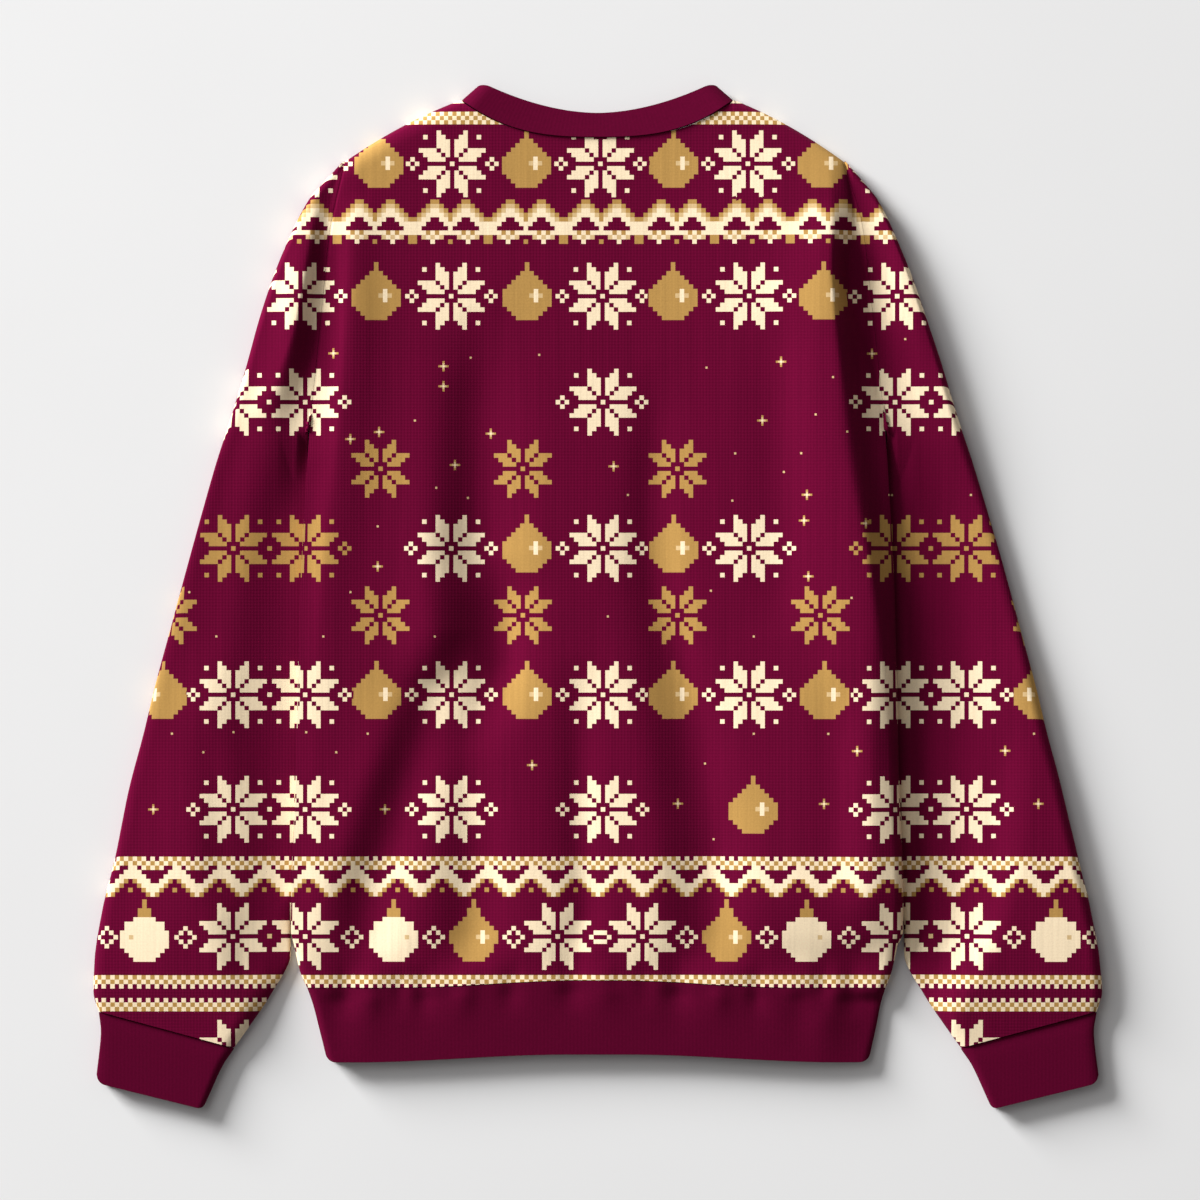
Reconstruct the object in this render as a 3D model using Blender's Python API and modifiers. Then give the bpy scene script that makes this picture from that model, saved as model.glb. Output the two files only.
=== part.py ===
"""Christmas sweatshirt, laid flat on its front with the sleeves tucked under its sides.

The back is up, the neck points along +Y and the shirt rests on Z = 0. The wearer's
left sleeve lies at -X. Tables and sizes are in millimetres; meshes are in metres.

Each piece of cloth is an open surface worked out from sections, and a Solidify
modifier gives it its wall. A point of the outer surface is found from three things:
where it lies in plan, how far it is from the piece's edges, and how high the cloth
lies there. Near an edge the surface turns down (or up) in a quarter round.
"""

import bpy
import numpy as np

MM = 0.001
COLLECTION = "christmas_sweatshirt"

CLOTH_WALL = 2.0          # brushed fleece
RIB_WALL = 2.4            # doubled rib knit
SEAM_GAP = 0.3            # free space between sewn pieces
HALF_GAP = SEAM_GAP / 2
SEAM_LIP = 1.6            # upright strip beside a folded seam, so the walls meet square
LIP_STEP = 1.2            # the same strip where the seam isn't folded, measured in plan

HEM_SEAM_Y = -274.0       # back and front end here, the waistband begins
HEM_BOW = 5.2             # the hem seam lies this much higher in the middle
HEM_BOW_START = 140.0     # its rise begins this far from the middle
HEM_BOW_RISE = 130.0      # and takes this width
HEM_BOW_TOP_Y = -200.0    # rows of points are straight from here up
UNDERARM_Y = 117.0        # side seam below, armhole above
SHOULDER_Y = 304.5        # where shoulder seam and armhole meet
NECK_X = 96.0             # side of the neckline, on the shoulder seam
NECK_Y = 347.5
SHOULDER_BOW = 3.3        # the shoulder line swells this far above a straight one
SHOULDER_SEAM_HEIGHT = 5.0
SHOULDER_ROLL = 12.0
BACK_NECK_Y = 321.3       # middle of the back neckline
BACK_NECK_POWER = 2.8
FRONT_NECK_DROP = 90.0    # front neckline below the side of the neck

BACK_LOFT = 10.5          # top of the back where nothing lifts it
SIDE_LOFT = 7.0           # extra height along the sides, over the tucked sleeves
SIDE_CREST = 18.0         # the sides stay this high up to here from the edge
SIDE_FALL = 62.0          # and come down to the loft over this width
FRONT_ROLL = 7.0
TUCK_RAMP = 24.0          # width of the slope in the front beside a tucked sleeve
TUCK_MARGIN = 8.0
ARMHOLE_LIFT = 45.0       # the front's armhole edge comes up to the underarm over this
UNDERARM_DROP = 2.2       # and stops this far below the side seam

SLEEVE_TUCKED = 5.9       # top of a sleeve where the body lies on it
SLEEVE_RISE = 30.0        # width over which the sleeve rises beside the body
SLEEVE_JOIN = 13.0        # it comes up to the armhole seam over this length
SLEEVE_SHELF = 18.0       # flat width beside the body before that rise
SLEEVE_EDGE_HEIGHT = 5.0
SLEEVE_ROLL = 11.0
ARMHOLE_GAP = 0.5
NECK_POINT_GAP = 0.3      # more room where shoulder seam and neckline meet
NECK_WIDEN = 1.15         # the neck's columns of points spread this much at the hem

HEM_LOFT = 9.6
HEM_BLEND = 46.0
BAND_BOTTOM_Y = -326.0
BAND_HOLLOW = 5.5         # the bottom edge is this much higher at its middle
BAND_CORNER = 8.0
BAND_ROLL = 7.0
BAND_END_LOFT = 9.4

NECK_RIB_PEAK_X = 81.0    # top of the rib at each side
NECK_RIB_PEAK_Y = 359.9
NECK_RIB_MIDDLE_Y = 338.6
NECK_RIB_POWER = 1.85
NECK_RIB_WIDTH = 18.0
NECK_RIB_CORNER = 6.0
NECK_RIB_LOFT = 8.8

CUFF_CORNER = 6.0

# Sides of the body from the bottom of the waistband up to the shoulder: distance of
# each edge from the middle, height of its seam, how far the sleeve beneath lifts the
# front, how far in that sleeve reaches, and the width in which the back turns down.
BODY_EDGE = {
    "y":     [-326, -318, -300, -285, -274, -262, -245, -234, -200, -140, -60, 0, 60,
              117, 173, 215, 257, 304.5],
    "left":  [189, 190.8, 195.5, 199.5, 203.4, 208.4, 212, 214.3, 214, 211.5, 209.5,
              208, 205, 201.3, 195.7, 191.5, 187, 176.8],
    "right": [189.5, 191.4, 195.6, 198.5, 201.9, 206.2, 210, 214, 214, 211.5, 209.5,
              208, 205, 201.3, 195.7, 191, 186, 172.5],
    "seam":  [4.3, 4.3, 4.4, 4.5, 4.7, 5.6, 8.0, 9.8, 10.45, 10.45, 10.45, 10.45,
              10.45, 10.45, 11.4, 11.6, 11, 10],
    "lift":  [0, 0, 0, 0, 0, 0.6, 4.6, 6.4, 6.4, 6.4, 6.4, 6.4, 6.4, 6.4, 0, 0, 0, 0],
    "tuck":  [0, 0, 0, 0, 0, 0, 0, 4, 15, 35, 49, 33, 7, 2, 0, 0, 0, 0],
    "turn":  [7, 7, 7, 7, 7, 8, 11, 13, 14, 14, 14, 14, 14, 14, 14, 14, 14, 13],
}

# Sections of a sleeve from the armhole (0) to the cuff seam (17), each a line across
# the sleeve from its outer fold to its inner fold. They turn about the underarm, and
# the inner fold passes under the body. "trim" narrows the right sleeve's outer fold,
# "fold" is the height of the inner fold and "roll" the width it turns in.
SLEEVE = {
    "outer_x": [176.8, 200, 220, 235, 247, 257, 267, 277, 288, 299, 309, 318, 328,
                338, 346.5, 352, 352.8, 349],
    "outer_y": [304.5, 280.6, 241.5, 200, 157, 124, 93, 58, 18, -23, -60, -97, -135,
                -184.5, -219, -254, -276, -290.5],
    "inner_x": [201.3, 202.9, 203.4, 202.2, 199, 193, 184, 174, 166, 164, 170,
                181, 195, 214.8, 215, 229, 242, 254.5],
    "inner_y": [117, 100, 82, 64, 46, 28, 10, -8, -32, -68, -108, -148, -185, -231,
                -251, -279, -298.5, -316],
    "trim":    [4.3, 5.6, 6.6, 6.3, 4.2, 4.2, 4, 3.4, 2.8, 2.8, 2.8, 2.8, 2.8, 1,
                1.2, 0.4, -0.6, -0.6],
    "fold":    [10.45, 4.2, 3.2, 3, 3, 3, 3, 3, 3, 3, 3, 3, 3, 3.2, 4.2, 4.8, 5, 5],
    "roll":    [6, 4, 3, 3, 3, 3, 3, 3, 3, 3, 3, 3, 3, 3.5, 6, 9, 9, 8],
    "crown":   [15, 15, 15, 15, 15, 15, 14.6, 14.4, 14.2, 14, 14, 14.2, 14.6, 15,
                14.8, 14, 12.4, 10.6],
}

# Sections of a cuff from its seam to its open end.
CUFF = {
    "outer_x": [349, 347.6, 350.6],
    "outer_y": [-290.5, -306, -340],
    "inner_x": [254.5, 261, 274.5],
    "inner_y": [-316, -327, -358.8],
    "trim":    [-0.6, 0, -0.2],
    "fold":    [5, 4.8, 4.6],
    "roll":    [8, 7, 6],
    "crown":   [10.6, 9.8, 10],
}

# Folds of the back: a trough (rise below 0) or ridge from one end to the other,
# with its half width.
BACK_FOLDS = [
    # x0,   y0,    x1,    y1,  half width, rise
    (-100,  165,   -92,   -40,  16,  -3.2),
    (-95,   -20,  -104,  -262,  16,  -2.6),
    (-98,   -10,  -158,  -185,  14,  -2.4),
    (30,    118,    38,   -50,  15,  -2.8),
    (38,    -30,    66,  -262,  15,  -3.0),
    (-24,   -60,   -15,  -258,  12,  -1.2),
    (-178,  268,  -179,    60,   9,   2.2),
    (-184,   90,  -200,  -160,   9,   1.8),
    (120,   150,   128,  -240,  22,  -1.4),
    (168,   230,   186,   -60,  11,   1.6),
]
SLEEVE_FOLDS = [
    (-276,   10,  -270,  -190,  12,  -2.4),
    (-236,  240,  -256,   110,  10,  -1.4),
    (262,   120,   292,   -60,  11,  -1.6),
    (284,   -80,   276,  -230,  12,  -2.0),
]

FINISHES = {
    "printed_fleece": ((0.147, 0.005, 0.033, 1.0), 0.92),
    "rib_knit": ((0.105, 0.004, 0.026, 1.0), 0.88),
}


def smooth(t):
    """Ramp from 0 to 1 with level ends."""
    t = np.clip(t, 0.0, 1.0)
    return t * t * (3.0 - 2.0 * t)


def quarter_round(t):
    """Rise of a quarter circle: upright at 0, level from 1."""
    t = np.clip(t, 0.0, 1.0)
    return np.sqrt(1.0 - (1.0 - t) ** 2)


def through(places, values, at):
    """Smooth curve through a table's rows that never goes past their values."""
    places = np.asarray(places, dtype=float)
    values = np.asarray(values, dtype=float)
    steps = np.diff(places)
    slopes = np.diff(values) / steps
    product = slopes[:-1] * slopes[1:]
    total = slopes[:-1] + slopes[1:]
    bends = np.zeros_like(values)
    bends[0], bends[-1] = slopes[0], slopes[-1]
    bends[1:-1] = np.where(product > 0, 2 * product / np.where(total == 0, 1, total), 0)
    row = np.clip(np.searchsorted(places, at, side="right") - 1, 0, len(steps) - 1)
    t = (at - places[row]) / steps[row]
    near = (1 + 2 * t) * (1 - t) ** 2 * values[row] + t * (1 - t) ** 2 * steps[row] * bends[row]
    far = t * t * (3 - 2 * t) * values[row + 1] - t * t * (1 - t) * steps[row] * bends[row + 1]
    return near + far


def body_edge(column, y):
    return through(BODY_EDGE["y"], BODY_EDGE[column], y)


def section(table, column, k):
    return through(np.arange(len(table[column])), table[column], k)


def folds(table, x, y):
    """Sum of the troughs and ridges, each fading out at both ends."""
    total = np.zeros(np.broadcast(x, y).shape)
    for x0, y0, x1, y1, half_width, rise in table:
        length = np.hypot(x1 - x0, y1 - y0)
        along = ((x - x0) * (x1 - x0) + (y - y0) * (y1 - y0)) / length
        aside = ((x - x0) * (y1 - y0) - (y - y0) * (x1 - x0)) / length
        ends = smooth(along / (0.3 * length)) * smooth((length - along) / (0.3 * length))
        total += rise * np.exp(-(aside / half_width) ** 2) * ends
    return total


def shoulder_line(x):
    """Y of the shoulder line at x, from the side of the neck out to the armhole."""
    end = np.where(x < 0, BODY_EDGE["left"][-1], BODY_EDGE["right"][-1])
    t = np.clip((np.abs(x) - NECK_X) / (end - NECK_X), 0, None)
    return NECK_Y + (SHOULDER_Y - NECK_Y) * t + SHOULDER_BOW * 4 * t * (1 - t)


def back_neckline(x):
    return BACK_NECK_Y + (NECK_Y - BACK_NECK_Y) * np.abs(x / NECK_X) ** BACK_NECK_POWER


def front_neckline(x):
    return NECK_Y - FRONT_NECK_DROP * np.sqrt(np.clip(1 - (x / NECK_X) ** 2, 0, 1))


def shoulder_distance(x, y):
    """Distance in plan from the shoulder seam, or from its end beside the neckline."""
    across = np.clip(NECK_X - np.abs(x), 0, None)
    down = shoulder_line(x) - y
    return np.hypot(across, np.clip(down, 0, None) * 0.88)


def shoulder_round(x, y, height, seam_height):
    """Brings a surface to the height of the shoulder seam along the shoulder."""
    share = quarter_round(shoulder_distance(x, y) / SHOULDER_ROLL)
    return seam_height + (height - seam_height) * share


def side_distance(x, y):
    """Distance from the nearer side of the body."""
    return np.minimum(x + body_edge("left", y), body_edge("right", y) - x)


def hem_bow(x):
    """Height in Y of the hem seam above its ends."""
    return HEM_BOW * smooth((HEM_BOW_START - np.abs(x)) / HEM_BOW_RISE)


def back_height(x, y):
    """Top of the back: a low loft, high sides over the sleeves, and the folds."""
    from_side = side_distance(x, y)
    lengthwise = smooth((y + 262) / 60) * smooth((335 - y) / 90)
    sides = SIDE_LOFT * (1 - smooth((from_side - SIDE_CREST) / SIDE_FALL)) * lengthwise
    height = BACK_LOFT + sides + folds(BACK_FOLDS, x, y)
    hem = smooth((y - HEM_SEAM_Y) / HEM_BLEND)
    return HEM_LOFT + (height - HEM_LOFT) * hem


def front_height(x, y):
    """Underside of the front: on the ground, and lifted where it lies on a sleeve."""
    reach = side_distance(x, y)
    inner = TUCK_RAMP + TUCK_MARGIN + body_edge("tuck", y)
    return body_edge("lift", y) * smooth((inner - reach) / TUCK_RAMP)


def armhole_low(y):
    """Underside of the armhole seam: on the ground, and up near the side seam at its foot."""
    top = BODY_EDGE["seam"][BODY_EDGE["y"].index(UNDERARM_Y)] - HALF_GAP - UNDERARM_DROP
    return top * (1 - quarter_round((y - UNDERARM_Y) / ARMHOLE_LIFT))


def roll_places(roll, angles):
    """Distances from a fold at which a quarter round has turned through the angles."""
    return roll * (1 - np.cos(np.radians(angles)))


def loop_stations(inner_roll, width, top, low):
    """Distances from the outer fold of the points around one sleeve section.

    The loop starts at the inner fold, goes over the top to the outer fold and comes
    back below. top and low are each a list of angles in the rolls and a number of
    steps between them. Returns the distances and, for each, 1 above and -1 below.
    """
    outer = roll_places(SLEEVE_ROLL, top[0])
    inner = width - roll_places(inner_roll, top[0])
    middle = np.linspace(outer[-1], inner[-1], top[1] + 1)[1:-1]
    above = np.concatenate([inner, middle[::-1], outer[::-1]])
    outer = roll_places(SLEEVE_ROLL, low[0])
    inner = width - roll_places(inner_roll, low[0])
    middle = np.linspace(outer[-1], inner[-1], low[1] + 1)[1:-1]
    below = np.concatenate([outer[1:], middle, inner[:0:-1]])
    distance = np.concatenate([above, below])
    return distance, np.concatenate([np.ones(len(above)), -np.ones(len(below))])


def armhole_rows(layer, top, low):
    """Heights in Y, from underarm to shoulder, of a sleeve's points along its armhole."""
    width = np.hypot(SLEEVE["inner_x"][0] - SLEEVE["outer_x"][0],
                     SLEEVE["inner_y"][0] - SLEEVE["outer_y"][0])
    distance, layers = loop_stations(SLEEVE["roll"][0], width, top, low)
    ends = (distance < 1e-6) | (distance > width - 1e-6)
    distance = distance[(layers == layer) | ends]
    return np.sort(SHOULDER_Y + (UNDERARM_Y - SHOULDER_Y) * distance / width)


def panel_columns(layer, side_y, inset, angles, neck_steps):
    """X of a panel's points, row by row: an edge, its roll, the slope beside a tucked
    sleeve or crest, and the columns that end on the neckline; then the same mirrored."""
    on_fold = side_y < UNDERARM_Y + 0.01
    roll = body_edge("turn", side_y) if layer > 0 else np.full_like(side_y, FRONT_ROLL)
    turned = roll_places(roll[:, None], np.concatenate([[0], angles])[None, :])
    turned[:, 1] = np.where(on_fold, 0.0, LIP_STEP)
    if layer > 0:
        slope = [SIDE_CREST + SIDE_FALL * share for share in (0.2, 0.5, 0.85)]
        slope = np.array(slope)[None, :] + np.zeros_like(side_y)[:, None]
    else:
        reach = body_edge("tuck", side_y) + TUCK_MARGIN
        slope = np.stack([reach, reach + TUCK_RAMP / 2, reach + TUCK_RAMP], axis=1)
    upper = np.clip((side_y - UNDERARM_Y) / (SHOULDER_Y - UNDERARM_Y), 0, 1)[:, None]
    sides = []
    for column in ("left", "right"):
        shoulder = BODY_EDGE[column][-1] - NECK_X
        on_shoulder = roll[-1] + (shoulder - roll[-1]) * np.array([0.25, 0.5, 0.75])
        reach = np.concatenate([turned, slope + (on_shoulder - slope) * upper], axis=1)
        edge = (body_edge(column, side_y) - inset)[:, None]
        sides.append(edge - reach)
    step = np.linspace(-1, 1, neck_steps + 1)
    lower = NECK_WIDEN * NECK_X * step
    neck = lower + (np.sin(step * np.pi / 2) * NECK_X - lower) * upper
    return np.concatenate([-sides[0], neck, sides[1][:, ::-1]], axis=1)


def panel(layer, angles, neck_steps, side_rows, armhole):
    """Grid of a body panel from its hem seam to its shoulders and neckline.

    The side edges follow the table of the body. Rows above the underarm bend to end on
    the shoulder line and neckline. layer is 1 for the back and -1 for the front. Beside
    a folded seam the first strip is upright, and beside the armhole it is level.
    """
    side_y = np.concatenate([side_rows, armhole, armhole[-1:]])
    on_fold = side_y < UNDERARM_Y + 0.01
    inset = np.where(side_y < UNDERARM_Y - 0.01, 0.0, ARMHOLE_GAP / 2)
    x = panel_columns(layer, side_y, inset, angles, neck_steps)

    top_x = x[-1]
    on_neck = np.abs(top_x) < NECK_X - 0.01
    neckline = back_neckline(top_x) if layer > 0 else front_neckline(top_x)
    top_y = np.where(on_neck, neckline - HALF_GAP, shoulder_line(top_x))
    upper = ((side_y - UNDERARM_Y) / (SHOULDER_Y - UNDERARM_Y))[:, None]
    y = np.where(upper > 0, UNDERARM_Y + (top_y - UNDERARM_Y) * upper, side_y[:, None])
    y[-2] = np.where(on_neck, top_y - LIP_STEP, top_y)
    near_hem = smooth((HEM_BOW_TOP_Y - side_y) / (HEM_BOW_TOP_Y - HEM_SEAM_Y))
    y = y + hem_bow(x) * near_hem[:, None]

    seam = body_edge("seam", side_y)
    drop = UNDERARM_DROP * smooth((side_y - UNDERARM_Y) / 30 + 1)
    low = np.where(on_fold, seam - HALF_GAP - drop, armhole_low(side_y))
    edge = seam + HALF_GAP if layer > 0 else low
    start = (edge + np.where(on_fold, layer * SEAM_LIP, 0.0))[:, None]
    level = back_height(x, y) if layer > 0 else front_height(x, y)
    from_side = np.minimum(x - x[:, :1], x[:, -1:] - x)
    roll = body_edge("turn", side_y) if layer > 0 else np.full_like(side_y, FRONT_ROLL)
    z = start + (level - start) * quarter_round(from_side / roll[:, None])
    z[:, 0], z[:, -1] = edge, edge
    z[:, 1] = np.where(on_fold, z[:, 1], edge)
    z[:, -2] = np.where(on_fold, z[:, -2], edge)

    beside_neck = np.clip(1 - (NECK_X - np.abs(x)) / 6, 0, 1)
    neck_point = np.clip(1 - np.abs(NECK_X - np.abs(x)) / 22, 0, 1)
    seam_height = SHOULDER_SEAM_HEIGHT + layer * (HALF_GAP + NECK_POINT_GAP * neck_point)
    z = shoulder_round(x, y, z, seam_height + layer * SEAM_LIP * beside_neck)
    z[-1] = np.where(on_neck, z[-1], seam_height[-1])
    return np.stack([x, y, z], axis=2)


def sleeve_top(x, y, side, crown):
    """Top of a sleeve: a shelf beside or under the body, then a rise to its crown."""
    edge = body_edge("left" if side < 0 else "right", y)
    joined = smooth((y - UNDERARM_Y) / SLEEVE_JOIN + 1)
    shelf = SLEEVE_TUCKED + (body_edge("seam", y) + HALF_GAP - SLEEVE_TUCKED) * joined
    start = SLEEVE_SHELF * (1 - joined)
    rise = smooth((np.abs(x) - edge - start) / SLEEVE_RISE)
    return shelf + (crown - shelf + folds(SLEEVE_FOLDS, x, y)) * rise


def armhole_bow(side, w):
    """How far the armhole lies outside the straight line between its ends."""
    column = "left" if side < 0 else "right"
    y = SHOULDER_Y + (UNDERARM_Y - SHOULDER_Y) * w
    start = body_edge(column, SHOULDER_Y)
    return body_edge(column, y) + ARMHOLE_GAP * 0.8 - start - (SLEEVE["inner_x"][0] - start) * w


def armhole_slope(side, w, step=0.002):
    """Change of x with y along the armhole, over a short step of w to either side."""
    near, far = np.clip(w - step, 0, 1), np.clip(w + step, 0, 1)
    run = (UNDERARM_Y - SHOULDER_Y) * (far - near)
    straight = (SLEEVE["inner_x"][0] - SLEEVE["outer_x"][0]) * (far - near)
    return (armhole_bow(side, far) - armhole_bow(side, near) + straight) / run


def tube(table, k, side, top, low, corner=0.0):
    """Grid of a sleeve or cuff: a row for each section k, a column for each station."""
    trim = section(table, "trim", k) if side > 0 else np.zeros_like(k)
    outer = np.stack([section(table, "outer_x", k) - trim, section(table, "outer_y", k)], axis=1)
    inner = np.stack([section(table, "inner_x", k), section(table, "inner_y", k)], axis=1)
    fold, crown = section(table, "fold", k), section(table, "crown", k)
    inner_roll = section(table, "roll", k)
    is_sleeve = table is SLEEVE
    rows = []
    for n in range(len(k)):
        width = np.hypot(*(inner[n] - outer[n]))
        distance, layer = loop_stations(inner_roll[n], width, top, low)
        w = distance / width
        x = side * (outer[n, 0] + (inner[n, 0] - outer[n, 0]) * w)
        y = outer[n, 1] + (inner[n, 1] - outer[n, 1]) * w
        if is_sleeve:
            x = x + side * armhole_bow(side, w) * (1 - smooth(k[n] / 2))
        from_end = np.minimum(distance, width - distance)
        rounded = corner * (1 - quarter_round(from_end / max(corner, 1.0)))
        y = y + rounded * (n / (len(k) - 1)) ** 2
        height = sleeve_top(x, y, side, crown[n]) if is_sleeve else crown[n]
        level = np.where(layer > 0, height, 0.0)
        z = SLEEVE_EDGE_HEIGHT + (level - SLEEVE_EDGE_HEIGHT) * quarter_round(distance / SLEEVE_ROLL)
        z = fold[n] + (z - fold[n]) * quarter_round((width - distance) / inner_roll[n])
        if is_sleeve and n == 0:
            z = np.where(layer > 0, body_edge("seam", y) + HALF_GAP, armhole_low(y))
            z = np.where(w > 0.999, fold[0], z)
            z = shoulder_round(x, y, z, SHOULDER_SEAM_HEIGHT)
            rows.append(np.stack([x, y, z], axis=1))
            x = x + side * LIP_STEP
            y = y - LIP_STEP * armhole_slope(side, w)
        rows.append(np.stack([x, y, z], axis=1))
    return np.array(rows)


def waistband(rows, top, low):
    """Grid of the waistband, from its seam down to its open end with round corners.

    The loop goes over the top from left to right and comes back below.
    """
    grid = []
    start = HEM_SEAM_Y - 0.8 * SEAM_GAP
    for v in rows:
        y_side = start + (BAND_BOTTOM_Y + BAND_CORNER - start) * v
        left, right = -body_edge("left", y_side), body_edge("right", y_side)
        turn = roll_places(BAND_ROLL, top[0])
        middle = np.linspace(left + BAND_ROLL, right - BAND_ROLL, top[1] + 1)[1:-1]
        above = np.concatenate([left + turn, middle, right - turn[::-1]])
        turn = roll_places(BAND_ROLL, low[0])
        middle = np.linspace(left + BAND_ROLL, right - BAND_ROLL, low[1] + 1)[1:-1]
        below = np.concatenate([right - turn[1:], middle[::-1], left + turn[:0:-1]])
        x = np.concatenate([above, below])
        from_side = np.minimum(x - left, right - x)
        corner = BAND_CORNER * (1 - quarter_round(from_side / BAND_CORNER))
        bottom = BAND_BOTTOM_Y + BAND_HOLLOW * smooth((from_side - 20) / 150) + corner
        seam_y = start + hem_bow(x)
        y = seam_y + (bottom - seam_y) * v
        level = np.zeros_like(x)
        level[:len(above)] = HEM_LOFT + (BAND_END_LOFT - HEM_LOFT) * v
        seam = body_edge("seam", y_side)
        z = seam + (level - seam) * quarter_round(from_side / BAND_ROLL)
        grid.append(np.stack([x, y, z], axis=1))
    return np.array(grid)


def neck_rib(rows, steps):
    """Grid of the neck rib: a band between the neckline and the rib's folded edge.

    The loop goes over the back from left to right and returns below, along the front.
    """
    half = np.sin(np.linspace(-1, 1, steps + 1) * np.pi / 2)
    share = np.concatenate([half, half[::-1][1:-1]])
    layer = np.concatenate([np.ones(steps + 1), -np.ones(steps - 1)])
    grid = []
    for v in rows:
        neck_x = share * NECK_X
        seam_x = share * (NECK_X - 4 * SEAM_GAP)
        seam_y = np.where(layer > 0, back_neckline(neck_x), front_neckline(neck_x)) + SEAM_GAP
        edge_x = share * NECK_RIB_PEAK_X
        back_y = (NECK_RIB_MIDDLE_Y + (NECK_RIB_PEAK_Y - NECK_RIB_MIDDLE_Y)
                  * np.abs(share) ** NECK_RIB_POWER)
        front_middle = NECK_Y - FRONT_NECK_DROP + NECK_RIB_WIDTH
        front_y = NECK_RIB_PEAK_Y - (NECK_RIB_PEAK_Y - front_middle) * np.sqrt(1 - share ** 2)
        edge_y = np.where(layer > 0, back_y, front_y)
        from_side = (1 - np.abs(share)) * NECK_RIB_PEAK_X
        corner = (1 - quarter_round(from_side / NECK_RIB_CORNER)) * 0.22
        reach = v * (1 - corner * v ** 2)
        x = seam_x + (edge_x - seam_x) * reach
        y = seam_y + (edge_y - seam_y) * reach
        loft = back_height(seam_x, seam_y) * (1 - v) + NECK_RIB_LOFT * v
        level = np.where(layer > 0, loft, 0.0)
        from_point = np.hypot(NECK_X - np.abs(neck_x), seam_y - SEAM_GAP - NECK_Y)
        turn = quarter_round(from_point / SHOULDER_ROLL)
        z = SHOULDER_SEAM_HEIGHT + (level - SHOULDER_SEAM_HEIGHT) * turn
        grid.append(np.stack([x, y, z], axis=1))
    return np.array(grid)


def finish(name):
    """Principled material with the finish's colour and roughness."""
    material = bpy.data.materials.get(name) or bpy.data.materials.new(name)
    colour, roughness = FINISHES[name]
    material.use_nodes = True
    shader = material.node_tree.nodes["Principled BSDF"]
    shader.inputs["Base Color"].default_value = colour
    shader.inputs["Roughness"].default_value = roughness
    shader.inputs["Metallic"].default_value = 0.0
    material.diffuse_color = colour
    return material


def add_cloth(name, grid, closed, flip, wall, material, collection):
    """Object from a grid of points in millimetres, thickened inwards by its wall."""
    rows, columns = grid.shape[:2]
    index = np.arange(rows * columns).reshape(rows, columns)
    if closed:
        index = np.concatenate([index, index[:, :1]], axis=1)
    corners = [index[:-1, :-1], index[:-1, 1:], index[1:, 1:], index[1:, :-1]]
    faces = np.stack(corners[::-1] if flip else corners, axis=2).reshape(-1, 4)
    mesh = bpy.data.meshes.new(name)
    mesh.from_pydata((grid.reshape(-1, 3) * MM).tolist(), [], faces.tolist())
    mesh.shade_smooth()
    mesh.materials.append(finish(material))
    piece = bpy.data.objects.new(name, mesh)
    collection.objects.link(piece)
    shell = piece.modifiers.new("wall", "SOLIDIFY")
    shell.thickness = wall * MM
    shell.offset = -1.0
    return piece


def build():
    for old in list(bpy.data.objects):
        bpy.data.objects.remove(old)
    collection = bpy.data.collections.new(COLLECTION)
    bpy.context.scene.collection.children.link(collection)

    fine, coarse = [0, 34, 64, 90], [0, 45, 90]
    around_sleeve = ((fine, 6), (coarse, 4))
    around_cuff = ((fine, 5), (coarse, 3))
    hem_rows = [HEM_SEAM_Y + SEAM_GAP, -262, -248, -234, -200]
    back_rows = np.concatenate([hem_rows, np.linspace(-168, 92, 9)])
    front_rows = np.concatenate([hem_rows, np.linspace(-160, 88, 7)])
    sleeve_k = np.concatenate([np.arange(0, 8), np.arange(8, 13, 1.25), np.arange(13, 18)])

    pieces = {
        "back_body": panel(1, fine, 12, back_rows, armhole_rows(1, *around_sleeve)),
        "front_body": panel(-1, coarse, 12, front_rows, armhole_rows(-1, *around_sleeve)),
        "waistband": waistband([0, 0.5, 0.85, 1], (fine, 14), (coarse, 10)),
        "neck_rib": neck_rib([0, 0.5, 1], 12),
    }
    for name, side in (("left", -1), ("right", 1)):
        pieces["sleeve_" + name] = tube(SLEEVE, sleeve_k, side, *around_sleeve)
        cuff = tube(CUFF, np.arange(3.0), side, *around_cuff, corner=CUFF_CORNER)
        cuff[:, :, 1] -= 1.7 * SEAM_GAP
        pieces["cuff_" + name] = cuff

    points = np.concatenate([grid.reshape(-1, 3) for grid in pieces.values()])
    middle = (points.min(axis=0) + points.max(axis=0)) / 2
    for name, grid in pieces.items():
        is_rib = name.startswith(("cuff", "neck", "waist"))
        grid[:, :, :2] -= middle[:2]
        add_cloth(name, grid, closed=not name.endswith("_body"),
                  flip=name in ("front_body", "waistband", "sleeve_right", "cuff_right"),
                  wall=RIB_WALL if is_rib else CLOTH_WALL,
                  material="rib_knit" if is_rib else "printed_fleece", collection=collection)


build()
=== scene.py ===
import functools
import math
import bpy
import numpy as np
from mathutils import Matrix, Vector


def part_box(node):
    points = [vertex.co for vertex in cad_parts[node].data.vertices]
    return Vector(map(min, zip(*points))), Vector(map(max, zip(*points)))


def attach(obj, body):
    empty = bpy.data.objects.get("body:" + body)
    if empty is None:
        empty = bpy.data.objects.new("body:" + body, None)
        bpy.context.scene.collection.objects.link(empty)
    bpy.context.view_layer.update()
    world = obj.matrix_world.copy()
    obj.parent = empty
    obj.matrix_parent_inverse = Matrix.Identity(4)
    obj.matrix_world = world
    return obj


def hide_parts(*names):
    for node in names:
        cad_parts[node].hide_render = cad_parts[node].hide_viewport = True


# Christmas sweatshirt of printed fleece with rib bands, laid on its front with the
# sleeves tucked under its sides. The neck points along +Y and the floor is at Z = 0.
# Tables are in millimetres and meshes in metres.

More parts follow.
